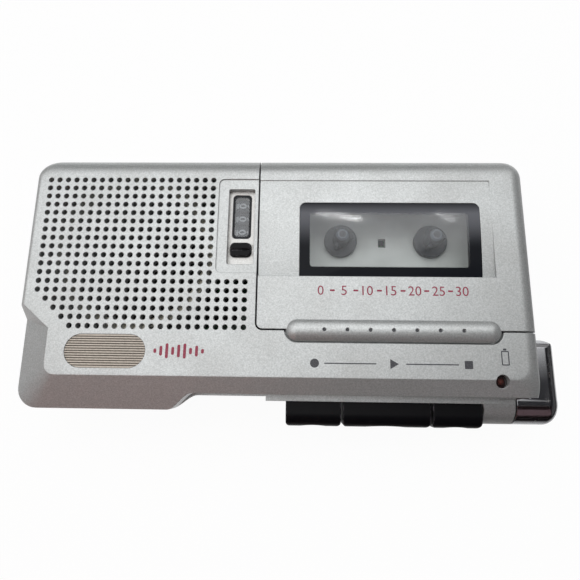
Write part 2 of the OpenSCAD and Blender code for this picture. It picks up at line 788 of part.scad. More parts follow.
module key(x0, w, scoop, tail) {
    y1 = step_y - key_out;
    color(red_key)
        difference() {
            union() {
                intersection() {
                    translate([x0 + w, 0, 0])
                        rotate([0, -90, 0])
                            linear_extrude(w)
                                key_profile();
                    linear_extrude(30)
                        round_rect([x0, y1], [x0 + w, in_y0 + 1], 1);
                }
                // Flange that keeps the key in
                box([x0 + 0.1, in_y0 + 0.05, axis_z - key_t / 2 - 0.9], [x0 + w - 0.1, in_y0 + 1.6, axis_z + key_t / 2 - 0.2]);
                // Guide of the spring
                translate([x0 + w / 2, in_y0 + 1.5, 8.4])
                    rotate([-90, 0, 0])
                        cylinder(r = 0.9, h = 1);
                // Tongue that works the head plate
                if (tail > -99)
                    box([x0 + w / 2 - 1.5, in_y0 + 1.5, deck_top - 1.2], [x0 + w / 2 + 1.5, tail, deck_top + 0.6]);
            }
            translate([x0 + w / 2, y1 - scoop, 0])
                cylinder(r = scoop + 0.3, h = 30);
        }
}

module key_spring(x0, w) {
    color([0.7, 0.7, 0.72])
        translate([x0 + w / 2, spring_y0, 8.4])
            rotate([-90, 0, 0])
                coil(1.5, 0.2, rail_y - spring_y0, 4);
}

kx1 = key_x0;
kx2 = kx1 + key_w1 + key_gap;
kx3 = kx2 + key_w2 + key_gap;
module record_key() { key(kx1, key_w1, 16, -99); }
module play_key() { key(kx2, key_w2, 40, head_y0 - 0.3); }
module stop_key() { key(kx3, key_w3, 14, -99); }
module key_springs_record() { key_spring(kx1, key_w1); }
module key_springs_play() { key_spring(kx2, key_w2); }
module key_springs_stop() { key_spring(kx3, key_w3); }

// Lever
module barrel(r, l, edge) {
    rotate_extrude() {
        square([r - edge, l]);
        square([r, l - edge]);
        intersection() {
            translate([r - edge, l - edge])
                circle(edge);
            square([r, l]);
        }
    }
}

module cue_lever() {
    round = 3;
    side = lever_r - 0.05;
    color([0.85, 0.85, 0.87])
        difference() {
            union() {
                translate([lever_x, lever_y, axis_z])
                    rotate([0, 90, 0])
                        barrel(lever_r, lever_x1 - lever_x, round);
                // Arm along the end, round on its outside and at its tip
                intersection() {
                    translate([0, lever_y1, 0])
                        rotate([90, 0, 0])
                            linear_extrude(lever_arm)
                                round_rect([arm_x - 9, axis_z - side], [lever_x1, axis_z + side], round);
                    linear_extrude(30)
                        round_rect([arm_x - 9, lever_y - 9], [lever_x1, lever_y1], round + 0.5);
                    rotate([90, 0, 90])
                        linear_extrude(2 * hx)
                            round_rect([lever_y - 9, axis_z - side - 0.3], [lever_y1 + 0.2, axis_z + side + 0.3], round + 0.6);
                    box([arm_x, lever_y - 9, 0], [hx + 20, hy, 30]);
                }
            }
            translate([0, lever_y, axis_z])
                rotate([0, 90, 0])
                    cylinder(r = 1.5 + run, h = arm_x + 1);
        }
}

module lever_pin() {
    color([0.7, 0.7, 0.72])
        translate([lump_x - 1, lever_y, axis_z])
            rotate([0, 90, 0])
                cylinder(r = 1.5, h = arm_x + 0.8 - lump_x + 1);
}

// Battery
module battery_door() {
    color(silver)
        difference() {
            union() {
                intersection() {
                    union() {
                        box([-hx, -door_l / 2, 0], [door_x1, door_l / 2, wall]);
                        box([-hx, -door_l / 2, 0], [-hx + wall, door_l / 2, 5]);
                    }
                    rear_form();
                }
                box([-hx + wall + 0.5, -door_l / 2 - 0.7, 0.75], [door_x1 - 2.5, door_l / 2 + 0.7, wall - 0.1]);
            }
            for (i = [0:5])
                box([door_x1 - 12 + 1.6 * i, -6, -1], [door_x1 - 11.2 + 1.6 * i, 6, 0.4]);
        }
}

module aa_cells() {
    color([0.2, 0.25, 0.4])
        for (s = [[cell_x1, 1], [cell_x2, -1]])
            translate([s[0], 0, cell_z])
                rotate([-90 * s[1], 0, 0])
                    translate([0, 0, -cell_l / 2 - 0.2]) {
                        cylinder(r = cell_d / 2, h = cell_l);
                        cylinder(r = 2.6, h = cell_l + 1);
                    }
}

module cell_contacts() {
    color([0.75, 0.75, 0.76])
        for (s = [[cell_x1, 1], [cell_x2, -1]])
            translate([s[0], 0, cell_z])
                rotate([0, 0, s[1] < 0 ? 180 : 0]) {
                    // Flat plate at the nub
                    box([-4.5, cell_l / 2 + 0.8, -4.5], [4.5, hy - wall, 4.5]);
                    // Plate and leaf spring at the other end
                    box([-4.5, -hy + wall, -4.5], [4.5, -hy + wall + 0.4, 4.5]);
                    y0 = -hy + wall + 0.3;
                    tip = -cell_l / 2 - 0.25;
                    translate([3, 0, 0])
                        rotate([0, -90, 0])
                            linear_extrude(6)
                                polygon([[-4, y0], [-3.4, y0], [0.4, tip - 0.4], [3.6, tip - 1.6],
                                    [3.8, tip - 1.3], [0.4, tip], [-0.2, tip], [-4, y0 + 0.4]]);
                }
}

module case_screws() {
    color([0.5, 0.5, 0.52])
        for (p = screw_spots)
            translate([p[0], p[1], 0])
                difference() {
                    union() {
                        translate([0, 0, 0.3])
                            cylinder(r = 1.85, h = 1);
                        translate([0, 0, 1])
                            cylinder(r = screw_r, h = parting_z + 2);
                    }
                    box([-1.2, -0.2, 0], [1.2, 0.2, 0.9]);
                    box([-0.2, -1.2, 0], [0.2, 1.2, 0.9]);
                }
}

// Sound
module speaker_basket() {
    color([0.3, 0.3, 0.32])
        translate([spk_x, spk_y, 0])
            rotate_extrude()
                polygon([[spk_r - 1.8, front_in], [spk_r, front_in], [spk_r, front_in - 1.2],
                    [9.2, parting_z + 1.8], [9.2, parting_z + 1.4], [8.2, parting_z + 1.4], [8.2, parting_z + 2.3],
                    [spk_r - 1.8, front_in - 1]]);
}

module speaker_cone() {
    color([0.12, 0.12, 0.12])
        translate([spk_x, spk_y, 0])
            rotate_extrude()
                polygon([[spk_r - 1.85, front_in - 0.1], [spk_r - 1.85, front_in - 0.5], [6.2, parting_z + 2.6],
                    [0, parting_z + 3.3], [0, parting_z + 3.7], [6.2, parting_z + 3]]);
}

module speaker_magnet() {
    color([0.35, 0.33, 0.3])
        translate([spk_x, spk_y, parting_z + 0.1])
            cylinder(r = 8.2, h = 1.9);
}

module mic_capsule() {
    color([0.75, 0.75, 0.75])
        translate([mic_x, mic_y, front_in - 4.2])
            cylinder(r = 3, h = 3.6);
}

// Electronics
module circuit_board() {
    color([0.13, 0.33, 0.2])
        difference() {
            box([cell_wall_x + 6, in_y0 + 6.6, 2.4], [hx - wall - 0.4, hy - wall - 0.5, 3.6]);
            for (p = concat(screw_spots, deck_spots))
                translate([p[0], p[1], 0])
                    cylinder(r = 2.8, h = 9);
            translate([count_x, count_y0 + 12, 0])
                cylinder(r = 1.5, h = 9);
            box([hx - wall - 1.4, jack_y - 5, 0], [hx, jack_y + jack_pitch + 5, 9]);
        }
}

module board_parts() {
    color([0.1, 0.1, 0.11]) {
        box([-19, -8, 3.6], [-11, 0, 5.4]);
        box([-8, -12, 3.6], [-3, -7, 5]);
        box([18, 16, 3.6], [27, 22, 5.4]);
        translate([-19, 8, 3.6])
            cylinder(r = 2.5, h = 7);
        translate([-19, -13, 3.6])
            cylinder(r = 2, h = 6);
        translate([31, 21, 3.6])
            cylinder(r = 2, h = 5);
    }
    // Pillars between the board and the rear shell
    color([0.8, 0.78, 0.7])
        for (p = [[-14, -14], [20, hy - 6], [30, -14]])
            translate([p[0], p[1], wall])
                cylinder(r = 1.5, h = 2.4 - wall);
}

module jack_panel() {
    color([0.1, 0.1, 0.1])
        difference() {
            box([hx - wall, jack_y - 4.1 + seat, 3], [hx, jack_y + jack_pitch + 4.1 - seat, parting_z]);
            for (y = [jack_y, jack_y + jack_pitch])
                translate([hx - wall - 1, y, jack_z])
                    rotate([0, 90, 0])
                        cylinder(r = 3.05, h = 9);
        }
}

module jack(y) {
    difference() {
        union() {
            box([hx - wall - jack_l, y - 3.5, 3.6], [hx - wall, y + 3.5, jack_z + 3.4]);
            translate([hx - wall - 1, y, jack_z])
                rotate([0, 90, 0])
                    cylinder(r = 3, h = wall + 1);
        }
        translate([hx - wall - jack_l + 1, y, jack_z])
            rotate([0, 90, 0])
                cylinder(r = jack_r, h = jack_l + 9);
    }
}
module earphone_jack() { color([0.15, 0.15, 0.16]) jack(jack_y); }
module microphone_jack() { color([0.15, 0.15, 0.16]) jack(jack_y + jack_pitch); }

module volume_dial() {
    color([0.1, 0.1, 0.1])
        translate([dial_x, dial_y, dial_z])
            difference() {
                cylinder(r = dial_r, h = dial_t);
                translate([0, 0, -1])
                    cylinder(r = 1.5 + run, h = 9);
                for (i = [0:31])
                    rotate([0, 0, 360 * i / 32])
                        translate([dial_r, 0, -1])
                            cylinder(r = 0.3, h = 9, $fn = 12);
            }
}

module volume_control() {
    color([0.55, 0.5, 0.4])
        translate([dial_x, dial_y, 0]) {
            translate([0, 0, 3.6])
                cylinder(r = 4, h = dial_z - 3.9);
            cylinder_z = dial_z + dial_t + 0.3;
            translate([0, 0, 4])
                cylinder(r = 1.5, h = cylinder_z - 4);
            translate([0, 0, cylinder_z])
                cylinder(r = 2.4, h = 0.6);
        }
}

module slide_knob(y) {
    color([0.1, 0.1, 0.1]) {
        box([hx - wall - 1.2, y - 1, 8.7], [hx + 1.1, y + 1, 10.3]);
        box([hx - wall - 1.1, y - 1.9, 8], [hx - wall - 0.3, y + 1.9, 11]);
    }
}
module voice_knob() { slide_knob(3); }
module speed_knob() { slide_knob(-6.4); }

module switch_bodies() {
    color([0.7, 0.68, 0.6])
        for (y = [3, -6.4]) {
            box([hx - wall - 4, y - 3.6, 7.8], [hx - wall - 1.5, y + 3.6, 11.6]);
            box([hx - wall - 2.2, y - 3.6, 3.6], [hx - wall - 1.5, y + 3.6, 8]);
        }
}

// Deck
module deck_plate() {
    color([0.72, 0.7, 0.66])
        difference() {
            translate([0, 0, deck_z])
                linear_extrude(deck_t)
                    difference() {
                        union() {
                            round_rect([lid_x0 + 2.6, -13.6], [hx - 3, hy - 2.6], 2);
                            for (p = deck_spots)
                                translate(p)
                                    circle(2.6);
                            translate([0, -17])
                                square([48, 5]);
                        }
                        for (s = [-1, 1])
                            translate([reel_x + s * reel_pitch / 2, reel_y])
                                circle(1 + run);
                        translate([cap_x, cap_y])
                            circle(2.2);
                        translate(idler_at)
                            circle(1);
                        for (p = deck_spots)
                            translate(p)
                                circle(0.85);
                        // Way of the play key's tongue
                        translate([kx2 + key_w2 / 2 - 2, -20])
                            square([4, 6.6]);
                    }
            // Small square seen through the window
            box([reel_x - 1.6, reel_y - 1.2, deck_z - 1], [reel_x + 0.2, reel_y + 1, deck_z + 9]);
        }
}

module deck_screws() {
    color([0.6, 0.6, 0.62])
        for (p = deck_spots)
            translate([p[0], p[1], 0])
                difference() {
                    union() {
                        translate([0, 0, deck_top])
                            cylinder(r = 1.5, h = 0.8);
                        translate([0, 0, deck_z - 4])
                            cylinder(r = 0.8, h = 4 + deck_t + 0.2);
                    }
                    box([-0.9, -0.15, deck_top + 0.4], [0.9, 0.15, 30]);
                    box([-0.15, -0.9, deck_top + 0.4], [0.15, 0.9, 30]);
                }
}

module spindle(x) {
    translate([x, reel_y, 0]) {
        translate([0, 0, deck_top + 0.1])
            cylinder(r = reel_r, h = 1.6);
        translate([0, 0, gear_z - 0.4])
            cylinder(r = 1, h = 9);
        translate([0, 0, deck_top + 1.2])
            cylinder(r = 1.9, h = 4.4);
        translate([0, 0, deck_top + 5.6])
            cylinder(r1 = 1.9, r2 = 1.1, h = 1.2);
        for (a = [0, 120, 240])
            rotate([0, 0, a])
                translate([0, -0.35, deck_top + 1.2])
                    cube([2.7, 0.7, 3.8]);
    }
}

module supply_spindle() {
    color([0.28, 0.28, 0.29]) {
        spindle(reel_x - reel_pitch / 2);
        // Pulley of the counter belt
        translate([reel_x - reel_pitch / 2, reel_y, 0])
            rotate_extrude()
                polygon([[0, 9.2], [3.4, 9.2], [3.4, 9.5], [3, 9.6], [3, 10.5], [3.4, 10.6], [3.4, 10.9], [0, 10.9]]);
    }
}

module takeup_spindle() {
    color([0.28, 0.28, 0.29]) {
        spindle(reel_x + reel_pitch / 2);
        translate([take_at[0], take_at[1], gear_z])
            gear(takeup_n, gear_t, takeup_phase);
    }
}

module flywheel() {
    color([0.75, 0.65, 0.4])
        translate([cap_x, cap_y, 0])
            difference() {
                union() {
                    rotate_extrude()
                        polygon([[0, fly_z], [fly_r, fly_z], [fly_r, fly_z + 0.9], [fly_r - 0.7, belt_z - 0.1],
                            [fly_r - 0.7, belt_z + belt_w + 0.1], [fly_r, fly_z + 2.1], [fly_r, fly_z + fly_t],
                            [3, fly_z + fly_t], [3, gear_z], [0, gear_z]]);
                    translate([0, 0, gear_z])
                        gear(pinion_n, gear_t, pinion_phase);
                }
                cylinder(r = cap_r, h = 30);
            }
}

module capstan() {
    color([0.8, 0.8, 0.82])
        translate([cap_x, cap_y, fly_z - 0.2])
            cylinder(r = cap_r, h = 15);
}

module capstan_bush() {
    color([0.7, 0.55, 0.3])
        translate([cap_x, cap_y, 0])
            difference() {
                union() {
                    translate([0, 0, deck_z - 1.4])
                        cylinder(r = 2.2, h = deck_t + 2);
                    translate([0, 0, deck_top])
                        cylinder(r = 2.8, h = 0.6);
                }
                cylinder(r = cap_r + run, h = 30);
            }
}

module drive_motor() {
    color([0.6, 0.6, 0.62])
        translate([motor_x, motor_y, 0])
            difference() {
                union() {
                    translate([0, 0, fly_z + 2.6])
                        cylinder(r = motor_r, h = deck_z - fly_z - 2.6);
                    translate([0, 0, fly_z + 2.3])
                        cylinder(r = 2.4, h = 2);
                }
                cylinder(r = 0.75 + run, h = fly_z + 5);
            }
}

module motor_pulley() {
    color([0.75, 0.65, 0.4])
        translate([motor_x, motor_y, 0]) {
            rotate_extrude()
                polygon([[0, fly_z], [pulley_r, fly_z], [pulley_r, fly_z + 0.6], [pulley_r - 0.6, belt_z - 0.1],
                    [pulley_r - 0.6, belt_z + belt_w + 0.1], [pulley_r, fly_z + 2.1], [0, fly_z + 2.1]]);
            translate([0, 0, fly_z])
                cylinder(r = 0.75, h = 4.6);
        }
}

module loop(a, ra, b, rb, w, h) {
    linear_extrude(h)
        difference() {
            hull() {
                translate(a)
                    circle(ra + w, $fn = 64);
                translate(b)
                    circle(rb + w, $fn = 64);
            }
            hull() {
                translate(a)
                    circle(ra, $fn = 64);
                translate(b)
                    circle(rb, $fn = 64);
            }
        }
}

module drive_belt() {
    color([0.1, 0.1, 0.1])
        translate([0, 0, belt_z])
            loop([motor_x, motor_y], pulley_r - 0.55, cap_at, fly_r - 0.65, 0.5, belt_w);
}

module idler_gear() {
    color([0.85, 0.83, 0.75])
        translate([idler_at[0], idler_at[1], gear_z])
            difference() {
                gear(idler_n, gear_t, idler_phase);
                translate([0, 0, -1])
                    cylinder(r = 1 + run, h = 9);
            }
}

module idler_post() {
    color([0.7, 0.7, 0.72])
        translate([idler_at[0], idler_at[1], 0]) {
            translate([0, 0, gear_z - 0.3])
                cylinder(r = 1, h = deck_top - gear_z + 0.3);
            translate([0, 0, gear_z - 0.6])
                cylinder(r = 1.6, h = 0.4);
            translate([0, 0, gear_z + gear_t + 0.2])
                cylinder(r = 1.6, h = deck_z - gear_z - gear_t - 0.2);
        }
}

// Counter
module counter_frame() {
    ear0 = wheel_y0 - wheel_w / 2 - 0.9;
    ear1 = wheel_y0 + 2 * wheel_pitch + wheel_w / 2 + 0.3;
    color([0.8, 0.79, 0.74])
        difference() {
            union() {
                box([count_x - 2.2, ear0, frame_z], [count_x + 2.6, ear1 + 0.6, frame_z + 0.8]);
                for (y = [ear0, ear1])
                    box([count_x - 1.6, y, frame_z], [count_x + 1.6, y + 0.6, counter_z + 1.6]);
                // Arm that carries the worm shaft
                box([worm_x - 1.8, worm_y - 1.8, frame_z], [count_x, worm_y + 1.8, frame_z + 0.8]);
            }
            translate([count_x, ear0 - 1, counter_z])
                rotate([-90, 0, 0])
                    cylinder(r = 0.7, h = 30);
            translate([worm_x, worm_y, 0])
                cylinder(r = 0.6 + run, h = 30);
        }
}

module counter_axle() {
    ear0 = wheel_y0 - wheel_w / 2 - 0.9;
    color([0.7, 0.7, 0.72])
        translate([count_x, ear0 - 0.3, counter_z])
            rotate([-90, 0, 0])
                cylinder(r = 0.7, h = 2 * wheel_pitch + wheel_w + 2.4);
}

module digit_wheel(k) {
    translate([count_x, wheel_y0 + k * wheel_pitch - wheel_w / 2, counter_z])
        rotate([-90, 0, 0])
            difference() {
                cylinder(r = wheel_r, h = wheel_w);
                translate([0, 0, -1])
                    cylinder(r = 0.7 + run, h = 9);
            }
}
module hundreds_wheel() { color([0.1, 0.1, 0.1]) digit_wheel(2); }
module tens_wheel() { color([0.1, 0.1, 0.1]) digit_wheel(1); }
module units_wheel() { color([0.1, 0.1, 0.1]) digit_wheel(0); }

module counter_worm() {
    color([0.85, 0.83, 0.75])
        translate([worm_x, worm_y, 0]) {
            translate([0, 0, 8.4])
                cylinder(r = 0.6, h = counter_z + 1.6 - 8.4);
            translate([0, 0, counter_z - 1.6])
                cylinder(r = worm_r - 0.2, h = 3.2);
            rotate_extrude()
                polygon([[0, 9.2], [3.4, 9.2], [3.4, 9.5], [3, 9.6], [3, 10.5], [3.4, 10.6], [3.4, 10.9], [0, 10.9]]);
        }
}

module counter_belt() {
    color([0.1, 0.1, 0.1])
        translate([0, 0, 9.7])
            loop([worm_x, worm_y], 3.06, [reel_x - reel_pitch / 2, reel_y], 3.06, 0.5, 0.7);
}

// Heads
module head_plate() {
    color([0.62, 0.62, 0.64])
        difference() {
            union() {
                box([13, head_y0, deck_top + 0.05], [38, -10.2, deck_top + 0.85]);
                box([36, head_y0, deck_top + 0.05], [pinch_x + 2, pinch_y + 1, deck_top + 0.85]);
                translate([pinch_x, pinch_y, deck_top + 0.4])
                    cylinder(r = 0.8, h = 5.4);
            }
            for (p = deck_spots)
                translate([p[0] - 2, p[1] - 3, 0])
                    cube([4, 9, 30]);
        }
}

module record_head() {
    color([0.75, 0.75, 0.77])
        translate([reel_x, 0, 0])
            difference() {
                box([-3.2, -13.6, deck_top + 0.85], [3.2, -8.6, deck_top + 5.6]);
                translate([0, -8.6, deck_top + 4.2])
                    rotate([0, 0, 45])
                        box([-0.4, -0.4, -0.4], [0.4, 0.4, 0.4]);
            }
}

module erase_head() {
    color([0.2, 0.2, 0.2])
        box([15.6, -13, deck_top + 0.85], [19.4, -9, deck_top + 5.4]);
}

module pinch_roller() {
    color([0.1, 0.1, 0.1])
        translate([pinch_x, pinch_y, deck_top + 1])
            tube(pinch_r, 0.8 + run, 4.2);
}

rear_shell();
front_shell();
cassette_lid();
lid_window();
hinge_rod();
mic_grille();
counter_bezel();
counter_lens();
reset_button();
record_lamp();
record_key();
play_key();
stop_key();
key_springs_record();
key_springs_play();
key_springs_stop();
cue_lever();
lever_pin();
battery_door();
aa_cells();
cell_contacts();
case_screws();
speaker_basket();
speaker_cone();
speaker_magnet();
mic_capsule();
circuit_board();
board_parts();
jack_panel();
earphone_jack();
microphone_jack();
volume_dial();
volume_control();
voice_knob();
speed_knob();
switch_bodies();
deck_plate();
deck_screws();
supply_spindle();
takeup_spindle();
flywheel();
capstan();
capstan_bush();
drive_motor();
motor_pulley();
drive_belt();
idler_gear();
idler_post();
counter_frame();
counter_axle();
hundreds_wheel();
tens_wheel();
units_wheel();
counter_worm();
counter_belt();
head_plate();
record_head();
erase_head();
pinch_roller();
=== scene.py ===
"""Looks of the microcassette recorder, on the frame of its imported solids.

Laid out as an add-on, run as a script.
"""
import json
import math

import bmesh
import bpy
from mathutils import Matrix, Vector
from mathutils.bvhtree import BVHTree


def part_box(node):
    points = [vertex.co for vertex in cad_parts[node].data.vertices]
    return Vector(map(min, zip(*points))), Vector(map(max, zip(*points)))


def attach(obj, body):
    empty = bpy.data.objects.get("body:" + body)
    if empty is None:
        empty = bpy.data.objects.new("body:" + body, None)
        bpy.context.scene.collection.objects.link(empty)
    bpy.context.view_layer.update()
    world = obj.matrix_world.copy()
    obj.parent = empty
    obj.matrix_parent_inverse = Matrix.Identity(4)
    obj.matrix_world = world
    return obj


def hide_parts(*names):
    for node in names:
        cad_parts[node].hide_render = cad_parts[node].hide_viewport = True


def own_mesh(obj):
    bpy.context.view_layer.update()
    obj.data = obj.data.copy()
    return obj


bl_info = {
    "name": "Microcassette recorder",
    "version": (1, 0, 0),
    "blender": (4, 5, 0),
    "location": "View3D > Sidebar > Recorder",
    "description": "Finishes the recorder's solids, prints its marks and sets the studio",
    "category": "Object",
}

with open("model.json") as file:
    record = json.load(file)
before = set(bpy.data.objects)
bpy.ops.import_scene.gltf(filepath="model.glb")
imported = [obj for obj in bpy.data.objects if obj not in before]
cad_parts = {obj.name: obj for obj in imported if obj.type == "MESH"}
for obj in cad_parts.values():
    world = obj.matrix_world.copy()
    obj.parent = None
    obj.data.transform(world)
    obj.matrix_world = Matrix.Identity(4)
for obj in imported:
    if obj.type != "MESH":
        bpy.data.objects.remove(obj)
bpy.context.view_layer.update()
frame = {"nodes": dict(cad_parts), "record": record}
BODY_OF = {node: body for body, nodes in frame["record"]["behaviour"]["bodies"].items() for node in nodes}
SLOT_OF = {part["node"]: part["material_slot"] for part in frame["record"]["subparts"]}
MM = 0.001
WHITE = (1.0, 1.0, 1.0, 1.0)
BLACK = (0.0, 0.0, 0.0, 1.0)
# Corners of a solid's loose triangles that are nearer than this are one
WELD = 0.002 * MM
# Angle in degrees past which an edge stays crisp: on most pieces, on the case and on the lever
CREASE = 32.0
CASE_CREASE = 28.0
LEVER_CREASE = 26.0


def lin(code):
    """Linear colour of an sRGB hex value."""
    parts = [int(code[i:i + 2], 16) / 255 for i in (0, 2, 4)]
    return tuple(c / 12.92 if c <= 0.04045 else ((c + 0.055) / 1.055) ** 2.4 for c in parts)


def tint(name, about, code):
    """A colour that a user may change."""
    return bpy.props.FloatVectorProperty(
        name=name, description=about, default=lin(code), subtype="COLOR", size=3, min=0.0, max=1.0)


def length(name, about, size):
    """A length that a user may change, given in millimetres."""
    return bpy.props.FloatProperty(
        name=name, description=about, default=size * MM, min=0.0, unit="LENGTH", precision=5)


class RecorderColours(bpy.types.PropertyGroup):
    """Colours of the recorder's finishes."""

    silver: tint("Silver", "Lacquer of the case", "BCBFBF")
    flake: tint("Flake", "Shaded flakes in the lacquer", "A7AAAA")
    # Colour of the dirt and painted shade in grooves and corners
    grime: tint("Grime", "Dirt in grooves and corners", "4B3E35")
    smoke: tint("Smoke", "Dark border of the window", "15171C")
    haze: tint("Haze", "Tint of the window's clear middle", "F2F4F5")
    mic: tint("Microphone grey", "Ribs over the microphone", "CFC6B9")
    bezel: tint("Bezel", "Frame of the counter", "DADAD8")
    black: tint("Black", "Moulded black pieces", "17181A")
    key: tint("Key", "The three keys", "0C0C0F")
    # Dark outer part of the unlit lamp, painted as the shade of its recess
    lamp: tint("Lamp", "Unlit record lamp", "160707")
    chrome: tint("Chrome", "Plated lever", "C6C7CA")
    steel: tint("Steel", "Plated steel pieces", "B8BABD")
    jacket: tint("Jacket", "Sleeve of the cells", "23262B")
    band: tint("Band", "Printed band on the cells", "B07A3C")
    paper: tint("Paper", "Speaker cone", "24221F")
    board: tint("Board", "Solder mask of the circuit board", "1F5A38")
    cream: tint("Cream", "Switch and volume bodies", "CFC8B4")
    deck: tint("Deck", "Plate of the tape deck", "EAEBE6")
    hub: tint("Hub", "Spindles of the reels", "22252B")
    brass: tint("Brass", "Bush, post and capstan pulley", "B08D4F")
    rubber: tint("Rubber", "Belts and roller", "1B1B1B")
    wheel: tint("Counter wheel", "Wheels behind the digits", "2E3138")
    crimson: tint("Crimson", "Red print", "8E2440")
    ink: tint("Ink", "Dark print", "3A3B40")
    digit: tint("Digit", "Digits of the counter", "F0F0F0")


class RecorderSizes(bpy.types.PropertyGroup):
    """Sizes of the recorder's finishes and prints."""

    edge: length("Edge", "Soft edge of moulded pieces", 0.2)
    flake: length("Flake", "Grain of the lacquer", 0.3)
    # Reach of the dirt and painted shade out of a corner
    groove: length("Groove", "How far dirt reaches out of a corner", 0.55)
    clear_w: length("Clear width", "Clear middle of the window along the case", 35.4)
    clear_h: length("Clear height", "Clear middle of the window across the case", 12.4)
    clear_x: length("Clear X", "Middle of the clear part along the case", 25.1)
    clear_y: length("Clear Y", "Middle of the clear part across the case", 8.6)
    clear_r: length("Clear corner", "Corner of the clear part", 0.7)
    digit_h: length("Digit height", "Height of a counter digit", 1.75)
    digit_w: length("Digit width", "Width of a counter digit", 1.3)
    film: length("Film", "Thickness of the printed ink", 0.02)


class RecorderStudio(bpy.types.PropertyGroup):
    """Camera and light of the studio."""

    lens: bpy.props.FloatProperty(name="Lens", description="Focal length in mm", default=27.31, min=1.0)
    eye: bpy.props.FloatVectorProperty(
        name="Eye", description="Camera's place", default=(0.00548, -0.02232, 0.11856), subtype="XYZ",
        precision=5)
    look: bpy.props.FloatVectorProperty(
        name="Look", description="Camera's direction", default=(-0.02453, 0.19995, -0.9795),
        subtype="DIRECTION")
    up: bpy.props.FloatVectorProperty(
        name="Up", description="Camera's upright", default=(-0.00852, 0.97972, 0.20021),
        subtype="DIRECTION")
    lamp: bpy.props.FloatProperty(
        name="Lamp", description="Soft lamp overhead", default=2.3, min=0.0, unit="POWER", precision=3)
    glint: bpy.props.FloatProperty(
        name="Glint", description="Small lamp that glints in the window", default=0.045, min=0.0,
        unit="POWER", precision=3)
    sky: bpy.props.FloatProperty(name="Sky", description="Even light from all round", default=0.85, min=0.0)


def colours():
    """The colours in use."""
    return bpy.context.scene.recorder_colours


def sizes():
    """The sizes in use."""
    return bpy.context.scene.recorder_sizes


def rgba(colour):
    """A colour as a socket takes it."""
    return (colour[0], colour[1], colour[2], 1.0)


def per(size_mm):
    """Scale of a texture whose features are size_mm across."""
    return 1000.0 / size_mm


def add(tree, kind, sockets=None, **settings):
    """Adds one node, sets it up, and fills or links its sockets."""
    node = tree.nodes.new("ShaderNode" + kind)
    for name, value in settings.items():
        setattr(node, name, value)
    for key, value in (sockets or {}).items():
        if isinstance(value, bpy.types.NodeSocket):
            tree.links.new(value, node.inputs[key])
        else:
            node.inputs[key].default_value = value
    return node


def begin(name):
    """An empty material, its tree and its Object coordinates."""
    mat = bpy.data.materials.new(name)
    mat.use_nodes = True
    mat.node_tree.nodes.clear()
    return mat, mat.node_tree, add(mat.node_tree, "TexCoord").outputs["Object"]


def blotches(t, place, one, two, size, detail, low, high, most=1.0, roughness=0.5):
    """A colour with blotches of another, size mm across: gives their noise and the mixed colour."""
    noise = add(t, "TexNoise", {
        "Vector": place, "Scale": per(size), "Detail": detail, "Roughness": roughness})
    share = add(t, "MapRange", {"Value": noise.outputs[0], "From Min": low, "From Max": high, "To Max": most})
    mixed = add(t, "Mix", {0: share.outputs[0], 6: rgba(one), 7: rgba(two)}, data_type="RGBA")
    return noise.outputs[0], mixed.outputs[2]


def past_rectangle(t, place, middle, inner):
    """How far a point of the front lies outside a rectangle, and its place from the middle."""
    centred = add(t, "VectorMath", {0: place, 1: (middle[0], middle[1], 0.0)}, operation="SUBTRACT")
    flat = add(t, "VectorMath", {0: centred.outputs[0], 1: (1.0, 1.0, 0.0)}, operation="MULTIPLY")
    folded = add(t, "VectorMath", {0: flat.outputs[0]}, operation="ABSOLUTE")
    past = add(t, "VectorMath", {0: folded.outputs[0], 1: (inner[0], inner[1], 0.0)}, operation="SUBTRACT")
    kept = add(t, "VectorMath", {0: past.outputs[0], 1: (0.0, 0.0, 0.0)}, operation="MAXIMUM")
    reach = add(t, "VectorMath", {0: kept.outputs[0]}, operation="LENGTH")
    return reach.outputs["Value"], flat.outputs[0]


